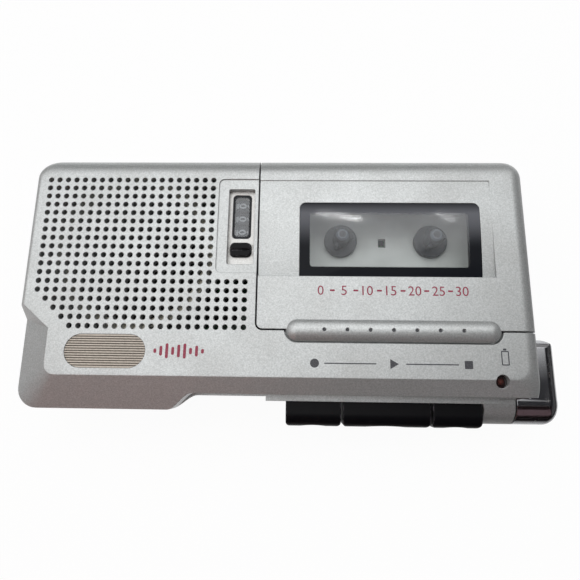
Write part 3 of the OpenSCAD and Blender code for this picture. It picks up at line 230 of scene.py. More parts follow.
def silver_lacquer(t, place):
    # Silver lacquer sprayed on moulded ABS: fine flakes give a grainy, soft metallic sheen,
    # corners and grooves hold brown dirt and painted shade, found by ambient occlusion, and broad patches are
    # dulled by handling.
    # The real flakes are about 0.05 mm and are drawn at 0.3 mm so that they show.
    c = colours()
    s = sizes()
    grain = add(t, "TexNoise", {"Vector": place, "Scale": 1 / s.flake, "Detail": 2.0, "Roughness": 0.65})
    spread = add(t, "MapRange", {"Value": grain.outputs[0], "From Min": 0.3, "From Max": 0.7})
    lacquer = add(
        t, "Mix", {0: spread.outputs[0], 6: rgba(c.flake), 7: rgba([min(1.0, v * 1.12) for v in c.silver])},
        data_type="RGBA")
    cloud = add(t, "TexNoise", {"Vector": place, "Scale": per(11), "Detail": 4.0})
    stain = add(t, "MapRange", {
        "Value": cloud.outputs[0], "From Min": 0.35, "From Max": 0.75, "To Max": 0.16})
    aged = add(t, "Mix", {
        0: stain.outputs[0], 6: lacquer.outputs[2], 7: rgba(lin("8F8B86"))}, data_type="RGBA")
    # Ambient occlusion darkens corners and grooves towards the grime colour: dirt and painted shade
    nook = add(t, "AmbientOcclusion", {"Distance": s.groove}, samples=6, only_local=True)
    speck = add(t, "TexNoise", {"Vector": place, "Scale": per(0.9), "Detail": 3.0})
    depth = add(t, "Math", {0: nook.outputs["AO"], 1: speck.outputs[0]}, operation="ADD")
    dirt_and_shade = add(t, "MapRange", {"Value": depth.outputs[0], "From Min": 0.88, "From Max": 0.5, "To Max": 0.75})
    soiled_and_shaded = add(t, "Mix", {0: dirt_and_shade.outputs[0], 6: aged.outputs[2], 7: rgba(c.grime)}, data_type="RGBA")
    rough = add(t, "MapRange", {"Value": cloud.outputs[0], "To Min": 0.36, "To Max": 0.5})
    soft = add(t, "Bevel", {"Radius": s.edge}, samples=4)
    bump = add(t, "Bump", {
        "Strength": 0.1, "Distance": 0.02 * MM, "Height": grain.outputs[0], "Normal": soft.outputs[0]})
    return add(t, "BsdfPrincipled", {
        "Base Color": soiled_and_shaded.outputs[2], "Metallic": 0.6, "Roughness": rough.outputs[0],
        "Normal": bump.outputs[0]})


def sheen(t, ior):
    # Share of a clear piece's gloss. Light that leaves it is not bent, so only its outer faces reflect.
    skin = add(t, "Fresnel", {"IOR": ior})
    side = add(t, "NewGeometry")
    outer = add(t, "Math", {0: 1.0, 1: side.outputs["Backfacing"]}, operation="SUBTRACT")
    return add(t, "Math", {0: skin.outputs[0], 1: outer.outputs[0]}, operation="MULTIPLY")


def smoked_acrylic(t, place):
    # Moulded acrylic window, printed black behind its border: a glossy dark frame, painted paler grey along
    # its top as a reflection, round a clear middle dulled by rub marks, with a grey veil painted stronger
    # towards its top as a reflection.
    c = colours()
    s = sizes()
    inner = (s.clear_w / 2 - s.clear_r, s.clear_h / 2 - s.clear_r)
    reach, flat = past_rectangle(t, place, (s.clear_x, s.clear_y), inner)
    border = add(t, "MapRange", {
        "Value": reach, "From Min": s.clear_r - 0.1 * MM, "From Max": s.clear_r + 0.1 * MM})
    rub = add(t, "TexNoise", {"Vector": place, "Scale": per(2.6), "Detail": 5.0, "Roughness": 0.6})
    rough = add(t, "MapRange", {
        "Value": rub.outputs[0], "From Min": 0.3, "From Max": 0.8, "To Min": 0.03, "To Max": 0.16})
    edge = add(t, "Bevel", {"Radius": s.edge}, samples=4)
    clear = add(t, "BsdfTransparent", {"Color": rgba(c.haze)})
    film = add(t, "BsdfDiffuse", {"Color": rgba(lin("C0C4C8"))})
    across = add(t, "SeparateXYZ", {0: flat})
    # Painted reflection: a lit grey veil over the clear middle, stronger towards its top
    reflection_rise = add(t, "MapRange", {
        "Value": across.outputs["Y"], "From Min": -s.clear_h / 4, "From Max": s.clear_h / 2,
        "To Min": 0.02, "To Max": 0.17})
    patch = add(t, "MapRange", {
        "Value": rub.outputs[0], "From Min": 0.3, "From Max": 0.8, "To Min": 0.7, "To Max": 1.4})
    reflection_veil = add(t, "Math", {0: reflection_rise.outputs[0], 1: patch.outputs[0]}, operation="MULTIPLY")
    # Painted reflection: the dark border is mixed towards pale grey along its top
    reflection_fall = add(t, "MapRange", {
        "Value": across.outputs["Y"], "From Min": -s.clear_h / 6, "From Max": s.clear_h / 2, "To Max": 0.36},
        interpolation_type="SMOOTHSTEP")
    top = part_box("lid_window")[1].y - s.clear_y
    rim = add(t, "MapRange", {
        "Value": across.outputs["Y"], "From Min": top, "From Max": s.clear_h / 2, "To Min": 0.05})
    dust = add(t, "Math", {0: reflection_fall.outputs[0], 1: rim.outputs[0]}, operation="MULTIPLY")
    reflected_border = add(t, "Mix", {0: dust.outputs[0], 6: rgba(c.smoke), 7: rgba(lin("9DA0A8"))}, data_type="RGBA")
    black = add(t, "BsdfPrincipled", {
        "Base Color": reflected_border.outputs[2], "Roughness": rough.outputs[0], "Specular IOR Level": 0.08,
        "Normal": edge.outputs[0]})
    hazy = add(t, "MixShader", {0: reflection_veil.outputs[0], 1: clear.outputs[0], 2: film.outputs[0]})
    gloss = add(t, "BsdfGlossy", {"Color": WHITE, "Roughness": rough.outputs[0]})
    skin = sheen(t, 1.36)
    glazed = add(t, "MixShader", {0: skin.outputs[0], 1: hazy.outputs[0], 2: gloss.outputs[0]})
    return add(t, "MixShader", {0: border.outputs[0], 1: glazed.outputs[0], 2: black.outputs[0]})


def ribbed_grey(t, place):
    # Warm grey ABS moulded in fine ribs: matt, with dirt and painted shade between the ribs.
    c = colours()
    s = sizes()
    speck, base = blotches(
        t, place, c.mic, lin("857D72"), size=0.5, detail=3.0, low=0.3, high=0.7, most=0.35)
    # Ambient occlusion darkens the gaps between the ribs: dirt and painted shade
    nook = add(t, "AmbientOcclusion", {"Distance": 0.4 * MM}, samples=6, only_local=True)
    dirt_and_shade = add(t, "MapRange", {
        "Value": nook.outputs["AO"], "From Min": 0.85, "From Max": 0.35, "To Max": 0.8})
    soiled_and_shaded = add(t, "Mix", {0: dirt_and_shade.outputs[0], 6: base, 7: rgba(c.grime)}, data_type="RGBA")
    soft = add(t, "Bevel", {"Radius": s.edge / 2}, samples=4)
    bump = add(t, "Bump", {
        "Strength": 0.2, "Distance": 0.04 * MM, "Height": speck, "Normal": soft.outputs[0]})
    return add(t, "BsdfPrincipled", {
        "Base Color": soiled_and_shaded.outputs[2], "Roughness": 0.55, "Normal": bump.outputs[0]})


def soiled_bezel(t, place):
    # Silver-grey ABS bezel set in a recess: brown dirt gathers along its edges in specks, and painted shade
    # darkens them where ambient occlusion finds the recess.
    c = colours()
    s = sizes()
    grain, base = blotches(
        t, place, c.bezel, lin("B4B3B0"), size=0.3, detail=2.0, low=0.3, high=0.7, most=0.5)
    # Ambient occlusion with specks darkens the bezel's edges: dirt and painted shade
    nook = add(t, "AmbientOcclusion", {"Distance": 0.9 * MM}, samples=6)
    speck = add(t, "TexNoise", {"Vector": place, "Scale": per(0.7), "Detail": 4.0, "Roughness": 0.7})
    depth = add(t, "Math", {0: nook.outputs["AO"], 1: speck.outputs[0]}, operation="ADD")
    dirt_and_shade = add(t, "MapRange", {"Value": depth.outputs[0], "From Min": 1.15, "From Max": 0.75, "To Max": 0.9})
    soiled_and_shaded = add(t, "Mix", {0: dirt_and_shade.outputs[0], 6: base, 7: rgba(c.grime)}, data_type="RGBA")
    soft = add(t, "Bevel", {"Radius": s.edge}, samples=4)
    bump = add(t, "Bump", {
        "Strength": 0.2, "Distance": 0.03 * MM, "Height": grain, "Normal": soft.outputs[0]})
    return add(t, "BsdfPrincipled", {
        "Base Color": soiled_and_shaded.outputs[2], "Metallic": 0.35, "Roughness": 0.45, "Normal": bump.outputs[0]})


def clear_styrene(t, place):
    # Clear polystyrene lens over the counter, printed black round its rim: see-through, with a
    # glossy skin, a thin haze and faint scratches.
    low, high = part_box("counter_lens")
    middle = (low + high) / 2
    print_w = 1.3 * MM
    inner = ((high.x - low.x) / 2 - print_w, (high.y - low.y) / 2 - print_w)
    reach, _ = past_rectangle(t, place, middle, inner)
    rim = add(t, "MapRange", {"Value": reach, "From Min": 0.7 * MM, "From Max": 0.9 * MM})
    turn = add(t, "Mapping", {"Vector": place, "Rotation": (0.0, 0.0, 0.5), "Scale": (1.0, 0.06, 1.0)})
    hair = add(t, "TexNoise", {"Vector": turn.outputs[0], "Scale": per(0.35), "Detail": 2.0})
    mark = add(t, "MapRange", {
        "Value": hair.outputs[0], "From Min": 0.5, "From Max": 0.72, "To Min": 0.1, "To Max": 0.24})
    clear = add(t, "BsdfTransparent", {"Color": rgba(lin("DDE0E2"))})
    film = add(t, "BsdfDiffuse", {"Color": rgba(lin("B2B6BA"))})
    worn = add(t, "MixShader", {0: mark.outputs[0], 1: clear.outputs[0], 2: film.outputs[0]})
    gloss = add(t, "BsdfGlossy", {"Color": WHITE, "Roughness": 0.08})
    skin = sheen(t, 1.59)
    glazed = add(t, "MixShader", {0: skin.outputs[0], 1: worn.outputs[0], 2: gloss.outputs[0]})
    black = add(t, "BsdfPrincipled", {
        "Base Color": rgba(colours().smoke), "Roughness": 0.3, "Specular IOR Level": 0.15})
    return add(t, "MixShader", {0: rim.outputs[0], 1: glazed.outputs[0], 2: black.outputs[0]})


def spark_black(t, place):
    # Black ABS from a spark-eroded mould: matt, finely grained, greyed where it is touched.
    # The real grain is about 0.1 mm and is drawn at 0.25 mm so that it shows.
    c = colours()
    s = sizes()
    grain = add(t, "TexNoise", {"Vector": place, "Scale": per(0.25), "Detail": 2.0})
    dust, base = blotches(
        t, place, c.black, lin("3A3835"), size=3, detail=5.0, low=0.4, high=0.8, most=0.3, roughness=0.6)
    rough = add(t, "MapRange", {"Value": dust, "To Min": 0.38, "To Max": 0.6})
    soft = add(t, "Bevel", {"Radius": s.edge}, samples=4)
    bump = add(t, "Bump", {
        "Strength": 0.25, "Distance": 0.03 * MM, "Height": grain.outputs[0], "Normal": soft.outputs[0]})
    return add(t, "BsdfPrincipled", {
        "Base Color": base, "Roughness": rough.outputs[0], "Normal": bump.outputs[0]})


def satin_key(t, place):
    # Satin black ABS of the keys: smoothed by thumbs, with pale rub lines along the edges.
    c = colours()
    grain = add(t, "TexNoise", {"Vector": place, "Scale": per(0.3), "Detail": 2.0})
    rub = add(t, "TexNoise", {"Vector": place, "Scale": per(1.6), "Detail": 5.0, "Roughness": 0.65})
    soft = add(t, "Bevel", {"Radius": 0.5 * MM}, samples=6)
    facing = add(t, "NewGeometry")
    turned = add(t, "VectorMath", {0: soft.outputs[0], 1: facing.outputs["Normal"]}, operation="DOT_PRODUCT")
    edge = add(t, "MapRange", {"Value": turned.outputs["Value"], "From Min": 0.995, "From Max": 0.8})
    patch = add(t, "MapRange", {"Value": rub.outputs[0], "From Min": 0.42, "From Max": 0.66})
    worn = add(t, "Math", {0: edge.outputs[0], 1: patch.outputs[0]}, operation="MULTIPLY")
    base = add(t, "Mix", {0: worn.outputs[0], 6: rgba(c.key), 7: rgba(lin("77747A"))}, data_type="RGBA")
    rough = add(t, "MapRange", {"Value": rub.outputs[0], "To Min": 0.26, "To Max": 0.5})
    bump = add(t, "Bump", {
        "Strength": 0.12, "Distance": 0.03 * MM, "Height": grain.outputs[0], "Normal": soft.outputs[0]})
    return add(t, "BsdfPrincipled", {
        "Base Color": base.outputs[2], "Roughness": rough.outputs[0], "Specular IOR Level": 0.11,
        "Normal": bump.outputs[0]})


def unlit_lamp(t, place):
    # Red-tinted epoxy of an unlit lamp: glossy, with a paler core, and painted dark round it as the shade of
    # its recess.
    c = colours()
    low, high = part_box("record_lamp")
    middle = (low + high) / 2
    flat = add(t, "VectorMath", {0: place, 1: (middle.x, middle.y, high.z)}, operation="DISTANCE")
    # Painted shade: outside the core the lamp takes the dark colour, standing for the shade of its recess
    core = add(t, "MapRange", {"Value": flat.outputs["Value"], "From Min": 0.8 * MM, "From Max": 0.2 * MM})
    base = add(t, "Mix", {0: core.outputs[0], 6: rgba(c.lamp), 7: rgba(lin("4E2822"))}, data_type="RGBA")
    swirl = add(t, "TexNoise", {"Vector": place, "Scale": per(0.6), "Detail": 2.0})
    rough = add(t, "MapRange", {"Value": swirl.outputs[0], "To Min": 0.06, "To Max": 0.22})
    return add(t, "BsdfPrincipled", {
        "Base Color": base.outputs[2], "Roughness": rough.outputs[0], "IOR": 1.55})


def scratched_chrome(t, place):
    # Chrome plated on polished ABS: a mirror with fine scratches along the thumb's way.
    c = colours()
    s = sizes()
    turn = add(t, "Mapping", {"Vector": place, "Rotation": (0.3, 0.0, 0.4), "Scale": (1.0, 0.08, 1.0)})
    hair = add(t, "TexNoise", {"Vector": turn.outputs[0], "Scale": per(0.4), "Detail": 3.0})
    scuff = add(t, "TexNoise", {"Vector": place, "Scale": per(2.2), "Detail": 5.0, "Roughness": 0.7})
    patch = add(t, "MapRange", {"Value": scuff.outputs[0], "From Min": 0.5, "From Max": 0.7})
    line = add(t, "MapRange", {"Value": hair.outputs[0], "From Min": 0.52, "From Max": 0.66})
    mark = add(t, "Math", {0: patch.outputs[0], 1: line.outputs[0]}, operation="MULTIPLY")
    base = add(t, "Mix", {0: mark.outputs[0], 6: rgba(c.chrome), 7: rgba(lin("9C9692"))}, data_type="RGBA")
    rough = add(t, "MapRange", {"Value": mark.outputs[0], "To Min": 0.07, "To Max": 0.42})
    soft = add(t, "Bevel", {"Radius": s.edge}, samples=4)
    bump = add(t, "Bump", {
        "Strength": 0.2, "Distance": 0.02 * MM, "Height": mark.outputs[0], "Normal": soft.outputs[0]})
    return add(t, "BsdfPrincipled", {
        "Base Color": base.outputs[2], "Metallic": 1.0, "Roughness": rough.outputs[0],
        "Normal": bump.outputs[0]})


def plated_steel(t, place):
    # Zinc-plated steel, drawn or stamped: bright grey with a faint drawn grain and dull patches.
    c = colours()
    turn = add(t, "Mapping", {"Vector": place, "Scale": (1.0, 0.1, 1.0)})
    grain = add(t, "TexNoise", {"Vector": turn.outputs[0], "Scale": per(0.4), "Detail": 3.0})
    _, base = blotches(
        t, place, c.steel, lin("86847F"), size=2.5, detail=4.0, low=0.35, high=0.75, most=0.5)
    rough = add(t, "MapRange", {"Value": grain.outputs[0], "To Min": 0.2, "To Max": 0.45})
    bump = add(t, "Bump", {"Strength": 0.15, "Distance": 0.03 * MM, "Height": grain.outputs[0]})
    return add(t, "BsdfPrincipled", {
        "Base Color": base, "Metallic": 1.0, "Roughness": rough.outputs[0], "Normal": bump.outputs[0]})


def cell_sleeve(t, place):
    # Shrunk printed film on the cells: dark and glossy, with one plain copper band at the plus end.
    c = colours()
    low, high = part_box("aa_cells")
    along = add(t, "SeparateXYZ", {0: place})
    split = high.y - (high.y - low.y) * 0.3
    band = add(t, "MapRange", {
        "Value": along.outputs["Y"], "From Min": split - 0.1 * MM, "From Max": split + 0.1 * MM})
    sleeve = add(t, "Mix", {0: band.outputs[0], 6: rgba(c.jacket), 7: rgba(c.band)}, data_type="RGBA")
    ends = add(t, "Math", {0: along.outputs["Y"], 1: (low.y + high.y) / 2}, operation="SUBTRACT")
    span = add(t, "Math", {0: ends.outputs[0]}, operation="ABSOLUTE")
    half = (high.y - low.y) / 2
    cap = add(t, "MapRange", {
        "Value": span.outputs[0], "From Min": half - 1.8 * MM, "From Max": half - 1.6 * MM})
    base = add(t, "Mix", {0: cap.outputs[0], 6: sleeve.outputs[2], 7: rgba(c.steel)}, data_type="RGBA")
    wrinkle = add(t, "TexNoise", {"Vector": place, "Scale": per(1.8), "Detail": 3.0})
    bump = add(t, "Bump", {"Strength": 0.1, "Distance": 0.05 * MM, "Height": wrinkle.outputs[0]})
    return add(t, "BsdfPrincipled", {
        "Base Color": base.outputs[2], "Metallic": cap.outputs[0], "Roughness": 0.28,
        "Normal": bump.outputs[0]})


def pressed_basket(t, place):
    # Pressed and passivated steel of the speaker: dull, slightly yellow, with a mottled skin.
    mottle, base = blotches(
        t, place, lin("8F8C84"), lin("A9A595"), size=1.5, detail=5.0, low=0.3, high=0.7, roughness=0.6)
    rough = add(t, "MapRange", {"Value": mottle, "To Min": 0.34, "To Max": 0.55})
    bump = add(t, "Bump", {"Strength": 0.1, "Distance": 0.04 * MM, "Height": mottle})
    return add(t, "BsdfPrincipled", {
        "Base Color": base, "Metallic": 0.9, "Roughness": rough.outputs[0], "Normal": bump.outputs[0]})


def doped_paper(t, place):
    # Felted paper of the speaker cone, doped black: matt, with short matted fibres.
    c = colours()
    fibre = add(t, "TexNoise", {
        "Vector": place, "Scale": per(0.6), "Detail": 6.0, "Roughness": 0.75, "Distortion": 1.5})
    tone = add(t, "MapRange", {"Value": fibre.outputs[0], "From Min": 0.35, "From Max": 0.7, "To Max": 0.6})
    base = add(t, "Mix", {0: tone.outputs[0], 6: rgba(c.paper), 7: rgba(lin("3B3833"))}, data_type="RGBA")
    bump = add(t, "Bump", {"Strength": 0.5, "Distance": 0.08 * MM, "Height": fibre.outputs[0]})
    return add(t, "BsdfPrincipled", {
        "Base Color": base.outputs[2], "Roughness": 0.9, "Normal": bump.outputs[0]})


def solder_mask(t, place):
    # Green solder mask on phenolic board: glossy, with paler raised tracks under it.
    c = colours()
    track = add(t, "TexBrick", {
        "Vector": place, "Scale": per(1), "Color1": BLACK, "Color2": BLACK,
        "Mortar": WHITE, "Mortar Size": 0.22, "Brick Width": 7.0, "Row Height": 1.9}, offset=0.37)
    base = add(t, "Mix", {0: track.outputs[1], 6: rgba(c.board), 7: rgba(lin("3F8A55"))}, data_type="RGBA")
    bump = add(t, "Bump", {"Strength": 0.4, "Distance": 0.04 * MM, "Height": track.outputs[1]})
    return add(t, "BsdfPrincipled", {
        "Base Color": base.outputs[2], "Roughness": 0.28, "Normal": bump.outputs[0]})


def moulded_epoxy(t, place):
    # Black filled epoxy of the board's parts: matt with a sandy skin.
    sand, base = blotches(
        t, place, lin("1A1A1B"), lin("2C2C2D"), size=0.2, detail=2.0, low=0.3, high=0.7)
    bump = add(t, "Bump", {"Strength": 0.3, "Distance": 0.04 * MM, "Height": sand})
    return add(t, "BsdfPrincipled", {"Base Color": base, "Roughness": 0.62, "Normal": bump.outputs[0]})


def cream_nylon(t, place):
    # Cream nylon of the switch bodies: waxy, slightly see-through, a little yellowed in patches.
    c = colours()
    patch, base = blotches(
        t, place, c.cream, lin("B9AC8C"), size=2.4, detail=4.0, low=0.35, high=0.7, most=0.6)
    rough = add(t, "MapRange", {"Value": patch, "To Min": 0.35, "To Max": 0.55})
    soft = add(t, "Bevel", {"Radius": sizes().edge}, samples=4)
    return add(t, "BsdfPrincipled", {
        "Base Color": base, "Roughness": rough.outputs[0], "Normal": soft.outputs[0],
        "Subsurface Weight": 0.08, "Subsurface Radius": (1.0 * MM, 0.8 * MM, 0.5 * MM)})


def deck_enamel(t, place):
    # Pale grey enamel on the pressed deck plate: even and satin, dulled in broad clouds.
    c = colours()
    film = add(t, "TexNoise", {"Vector": place, "Scale": per(0.5), "Detail": 3.0})
    cloud, base = blotches(
        t, place, c.deck, lin("C6C8C2"), size=6, detail=4.0, low=0.35, high=0.7, most=0.35)
    rough = add(t, "MapRange", {"Value": cloud, "To Min": 0.38, "To Max": 0.55})
    soft = add(t, "Bevel", {"Radius": sizes().edge}, samples=4)
    bump = add(t, "Bump", {
        "Strength": 0.1, "Distance": 0.03 * MM, "Height": film.outputs[0], "Normal": soft.outputs[0]})
    return add(t, "BsdfPrincipled", {
        "Base Color": base, "Roughness": rough.outputs[0], "Normal": bump.outputs[0]})


def acetal_hub(t, place):
    # Dark grey acetal of the spindles: waxy and worn in spots, with a painted highlight as a pale ring round
    # each tip.
    c = colours()
    wear, base = blotches(
        t, place, c.hub, lin("373A40"), size=0.8, detail=4.0, low=0.35, high=0.7, most=0.5)
    tips = []
    for node in ("supply_spindle", "takeup_spindle"):
        low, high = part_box(node)
        tip = ((low.x + high.x) / 2, (low.y + high.y) / 2, high.z)
        tips.append(add(t, "VectorMath", {0: place, 1: tip}, operation="DISTANCE").outputs["Value"])
    nearest = add(t, "Math", {0: tips[0], 1: tips[1]}, operation="MINIMUM")
    # Painted highlight: a pale ring round the top of each spindle
    inner = add(t, "MapRange", {"Value": nearest.outputs[0], "From Min": 0.7 * MM, "From Max": 1.0 * MM})
    outer = add(t, "MapRange", {
        "Value": nearest.outputs[0], "From Min": 1.8 * MM, "From Max": 1.4 * MM, "To Max": 0.85})
    rim = add(t, "Math", {0: inner.outputs[0], 1: outer.outputs[0]}, operation="MULTIPLY")
    ring_highlight = add(t, "Mix", {0: rim.outputs[0], 6: base, 7: rgba(lin("848992"))}, data_type="RGBA")
    rough = add(t, "MapRange", {"Value": wear, "To Min": 0.3, "To Max": 0.5})
    soft = add(t, "Bevel", {"Radius": sizes().edge}, samples=4)
    return add(t, "BsdfPrincipled", {
        "Base Color": ring_highlight.outputs[2], "Roughness": rough.outputs[0], "Normal": soft.outputs[0]})


def wheel_acetal(t, place):
    # Blue-black acetal of the counter wheels: dull, so that the digits stand out.
    c = colours()
    wear, base = blotches(
        t, place, c.wheel, lin("454952"), size=0.5, detail=4.0, low=0.35, high=0.7, most=0.6)
    rough = add(t, "MapRange", {"Value": wear, "To Min": 0.4, "To Max": 0.6})
    return add(t, "BsdfPrincipled", {"Base Color": base, "Roughness": rough.outputs[0]})


def turned_brass(t, place):
    # Turned brass: warm metal with fine marks from the lathe and a few dull spots.
    c = colours()
    ring = add(t, "TexNoise", {"Vector": place, "Scale": per(0.3), "Detail": 2.0})
    _, base = blotches(
        t, place, c.brass, lin("7C6235"), size=1.4, detail=4.0, low=0.4, high=0.75, most=0.6)
    rough = add(t, "MapRange", {"Value": ring.outputs[0], "To Min": 0.18, "To Max": 0.42})
    return add(t, "BsdfPrincipled", {"Base Color": base, "Metallic": 1.0, "Roughness": rough.outputs[0]})


def moulded_rubber(t, place):
    # Moulded black rubber of belts and roller: matt, faintly dusty.
    c = colours()
    dust, base = blotches(
        t, place, c.rubber, lin("3A3936"), size=0.7, detail=5.0, low=0.4, high=0.75, most=0.6, roughness=0.65)
    rough = add(t, "MapRange", {"Value": dust, "To Min": 0.6, "To Max": 0.85})
    bump = add(t, "Bump", {"Strength": 0.2, "Distance": 0.03 * MM, "Height": dust})
    return add(t, "BsdfPrincipled", {
        "Base Color": base, "Roughness": rough.outputs[0], "Normal": bump.outputs[0]})


def pad_ink(t, place, ink, thin):
    # Pad-printed ink: satin, thinner in specks where the lacquer shows through.
    _, base = blotches(t, place, ink, lin(thin), size=0.35, detail=3.0, low=0.5, high=0.8, most=0.5)
    return add(t, "BsdfPrincipled", {"Base Color": base, "Roughness": 0.5})


def crimson_ink(t, place):
    # Crimson ink of the bars and the tape scale: strong and a little purple.
    return pad_ink(t, place, colours().crimson, "B9717F")


def dark_ink(t, place):
    # Dark grey ink of the plain signs, and painted shade in small dots: near black, greyer where it is thin.
    return pad_ink(t, place, colours().ink, "77787C")


def white_ink(t, place):
    # White hot-stamped foil of the digits: opaque, rubbed grey in places.
    c = colours()
    _, base = blotches(
        t, place, c.digit, lin("9A9CA2"), size=0.5, detail=3.0, low=0.5, high=0.8, most=0.6)
    return add(t, "BsdfPrincipled", {"Base Color": base, "Roughness": 0.45})


FINISHES = {
    "silver_case": ("silver_lacquer_on_ABS", silver_lacquer),
    "smoked_window": ("smoked_acrylic", smoked_acrylic),
    "mic_grey": ("warm_grey_ABS", ribbed_grey),
    "bezel_grey": ("silver_grey_ABS", soiled_bezel),
    "clear_lens": ("clear_polystyrene", clear_styrene),
    "black_plastic": ("black_ABS", spark_black),
    "key_black": ("satin_black_ABS", satin_key),
    "lamp_red": ("red_epoxy", unlit_lamp),
    "lever_chrome": ("chrome_plated_ABS", scratched_chrome),
    "steel": ("zinc_plated_steel", plated_steel),
    "cell_jacket": ("printed_PVC_film", cell_sleeve),
    "speaker_metal": ("passivated_steel", pressed_basket),
    "speaker_paper": ("doped_paper", doped_paper),
    "board_green": ("solder_masked_board", solder_mask),
    "chip_black": ("moulded_epoxy", moulded_epoxy),
    "switch_cream": ("cream_nylon", cream_nylon),
    "deck_grey": ("grey_enamel_on_steel", deck_enamel),
    "spindle_grey": ("dark_grey_acetal", acetal_hub),
    "brass": ("turned_brass", turned_brass),
    "rubber": ("moulded_rubber", moulded_rubber),
    "wheel_black": ("blue_black_acetal", wheel_acetal),
    "crimson_print": ("crimson_pad_print", crimson_ink),
    "dark_print": ("dark_pad_print", dark_ink),
    "white_print": ("white_hot_stamping", white_ink),
}
made = {}


def finish_of(kind):
    """The material of a finish, made once."""
    if kind not in made:
        name, surface = FINISHES[kind]
        mat, t, place = begin(name)
        add(t, "OutputMaterial", {"Surface": surface(t, place).outputs[0]})
        made[kind] = mat
    return made[kind]


def place_piece(bm, name, kind, body, sharp=CREASE):
    """Turns a bmesh into a smooth piece that rides on a body."""
    for face in bm.faces:
        face.smooth = True
    mesh = bpy.data.meshes.new(name)
    bm.to_mesh(mesh)
    bm.free()
    if "custom_normal" in mesh.attributes:
        mesh.attributes.remove(mesh.attributes["custom_normal"])
    mesh.set_sharp_from_angle(angle=math.radians(sharp))
    mesh.materials.clear()
    mesh.materials.append(finish_of(kind))
    piece = bpy.data.objects.new(name, mesh)
    bpy.context.scene.collection.objects.link(piece)
    weigh = piece.modifiers.new("weighted", "WEIGHTED_NORMAL")
    weigh.keep_sharp = True
    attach(piece, body)
    return piece


def dress(node, kind=None, sharp=CREASE, edge=0.0):
    """A merged and smoothed copy of a solid, with real soft edges where edge is given, that stands for it."""
    bm = bmesh.new()
    bm.from_mesh(frame["nodes"][node].data)
    bmesh.ops.remove_doubles(bm, verts=bm.verts, dist=WELD)
    if edge:
        bmesh.ops.dissolve_limit(
            bm, angle_limit=math.radians(0.6), verts=bm.verts, edges=bm.edges, use_dissolve_boundaries=False)
        crisp = [e for e in bm.edges if len(e.link_faces) == 2 and e.calc_face_angle() > math.radians(sharp)]
        bmesh.ops.bevel(
            bm, geom=crisp, offset=edge, offset_type="OFFSET", affect="EDGES", segments=2, profile=0.5,
            material=-1, clamp_overlap=True)
        bmesh.ops.remove_doubles(bm, verts=bm.verts, dist=WELD)
    piece = place_piece(bm, node + "_finish", kind or SLOT_OF[node], BODY_OF[node], sharp)
    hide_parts(node)
    return piece


def top_of(tree, x, y):
    """Height of a solid's top under a point of the front."""
    spot, _, _, _ = tree.ray_cast(Vector((x, y, 0.1)), Vector((0.0, 0.0, -1.0)))
    if spot is None:
        raise RuntimeError(f"there is no solid under a print at {x}, {y}")
    return spot.z


def glyph(sign, height, width=None, weight=0.0):
    """A printed sign as a flat mesh about its own middle."""
    curve = bpy.data.curves.new("sign", "FONT")
    curve.body = sign
    curve.resolution_u = 3
    curve.offset = weight
    holder = bpy.data.objects.new("sign", curve)
    bpy.context.scene.collection.objects.link(holder)
    bpy.context.view_layer.update()
    graph = bpy.context.evaluated_depsgraph_get()
    mesh = bpy.data.meshes.new_from_object(holder.evaluated_get(graph))
    bm = bmesh.new()
    bm.from_mesh(mesh)
    bpy.data.objects.remove(holder)
    bpy.data.curves.remove(curve)
    bpy.data.meshes.remove(mesh)
    bmesh.ops.remove_doubles(bm, verts=bm.verts, dist=0.0001)
    xs = [v.co.x for v in bm.verts]
    ys = [v.co.y for v in bm.verts]
    tall = height / (max(ys) - min(ys))
    wide = width / (max(xs) - min(xs)) if width else tall
    bmesh.ops.translate(bm, verts=bm.verts, vec=(-(max(xs) + min(xs)) / 2, -(max(ys) + min(ys)) / 2, 0.0))
    bmesh.ops.scale(bm, verts=bm.verts, vec=(wide, tall, 1.0))
    return bm


def join(into, piece):
    """Adds one bmesh to another and frees it."""
    mesh = bpy.data.meshes.new("join")
    piece.to_mesh(mesh)
    piece.free()
    into.from_mesh(mesh)
    bpy.data.meshes.remove(mesh)


def bar(width, height, corner):
    """A flat printed bar with round corners, about its own middle."""
    bm = bmesh.new()
    bmesh.ops.create_grid(bm, x_segments=1, y_segments=1, size=0.5)
    bmesh.ops.scale(bm, verts=bm.verts, vec=(width, height, 1.0))
    bmesh.ops.bevel(
        bm, geom=bm.verts, offset=corner, affect="VERTICES", segments=3, profile=0.5, material=-1)
    return bm


def disc(radius, sides, turn=0.0):
    """A flat printed disc or regular shape, turned about its own middle."""
    bm = bmesh.new()
    bmesh.ops.create_circle(bm, cap_ends=True, segments=sides, radius=radius)
    bmesh.ops.rotate(bm, verts=bm.verts, matrix=Matrix.Rotation(math.radians(turn), 3, "Z"))
    return bm


def print_marks(name, kind, node, marks):
    """Prints flat marks, each with its place, on a solid's top as one film of ink."""
    film = bmesh.new()
    film.from_mesh(frame["nodes"][node].data)
    tree = BVHTree.FromBMesh(film)
    film.clear()
    for mark, x, y in marks:
        bmesh.ops.translate(mark, verts=mark.verts, vec=(x, y, top_of(tree, x, y) + sizes().film))
        join(film, mark)
    bmesh.ops.recalc_face_normals(film, faces=film.faces)
    for face in film.faces:
        if face.normal.z < 0:
            face.normal_flip()
    bmesh.ops.solidify(film, geom=film.faces[:], thickness=sizes().film)
    return place_piece(film, name, kind, BODY_OF[node])


class RECORDER_OT_case(bpy.types.Operator):
    """Finishes the shells, the lid and the door."""

    bl_idname = "recorder.case"
    bl_label = "Case"

    def execute(self, context):
        for node in ("front_shell", "rear_shell", "cassette_lid", "battery_door"):
            dress(node, sharp=CASE_CREASE)
        dress("lid_window", sharp=CASE_CREASE).visible_shadow = False
        dress("hinge_rod")
        dress("case_screws")
        return {"FINISHED"}


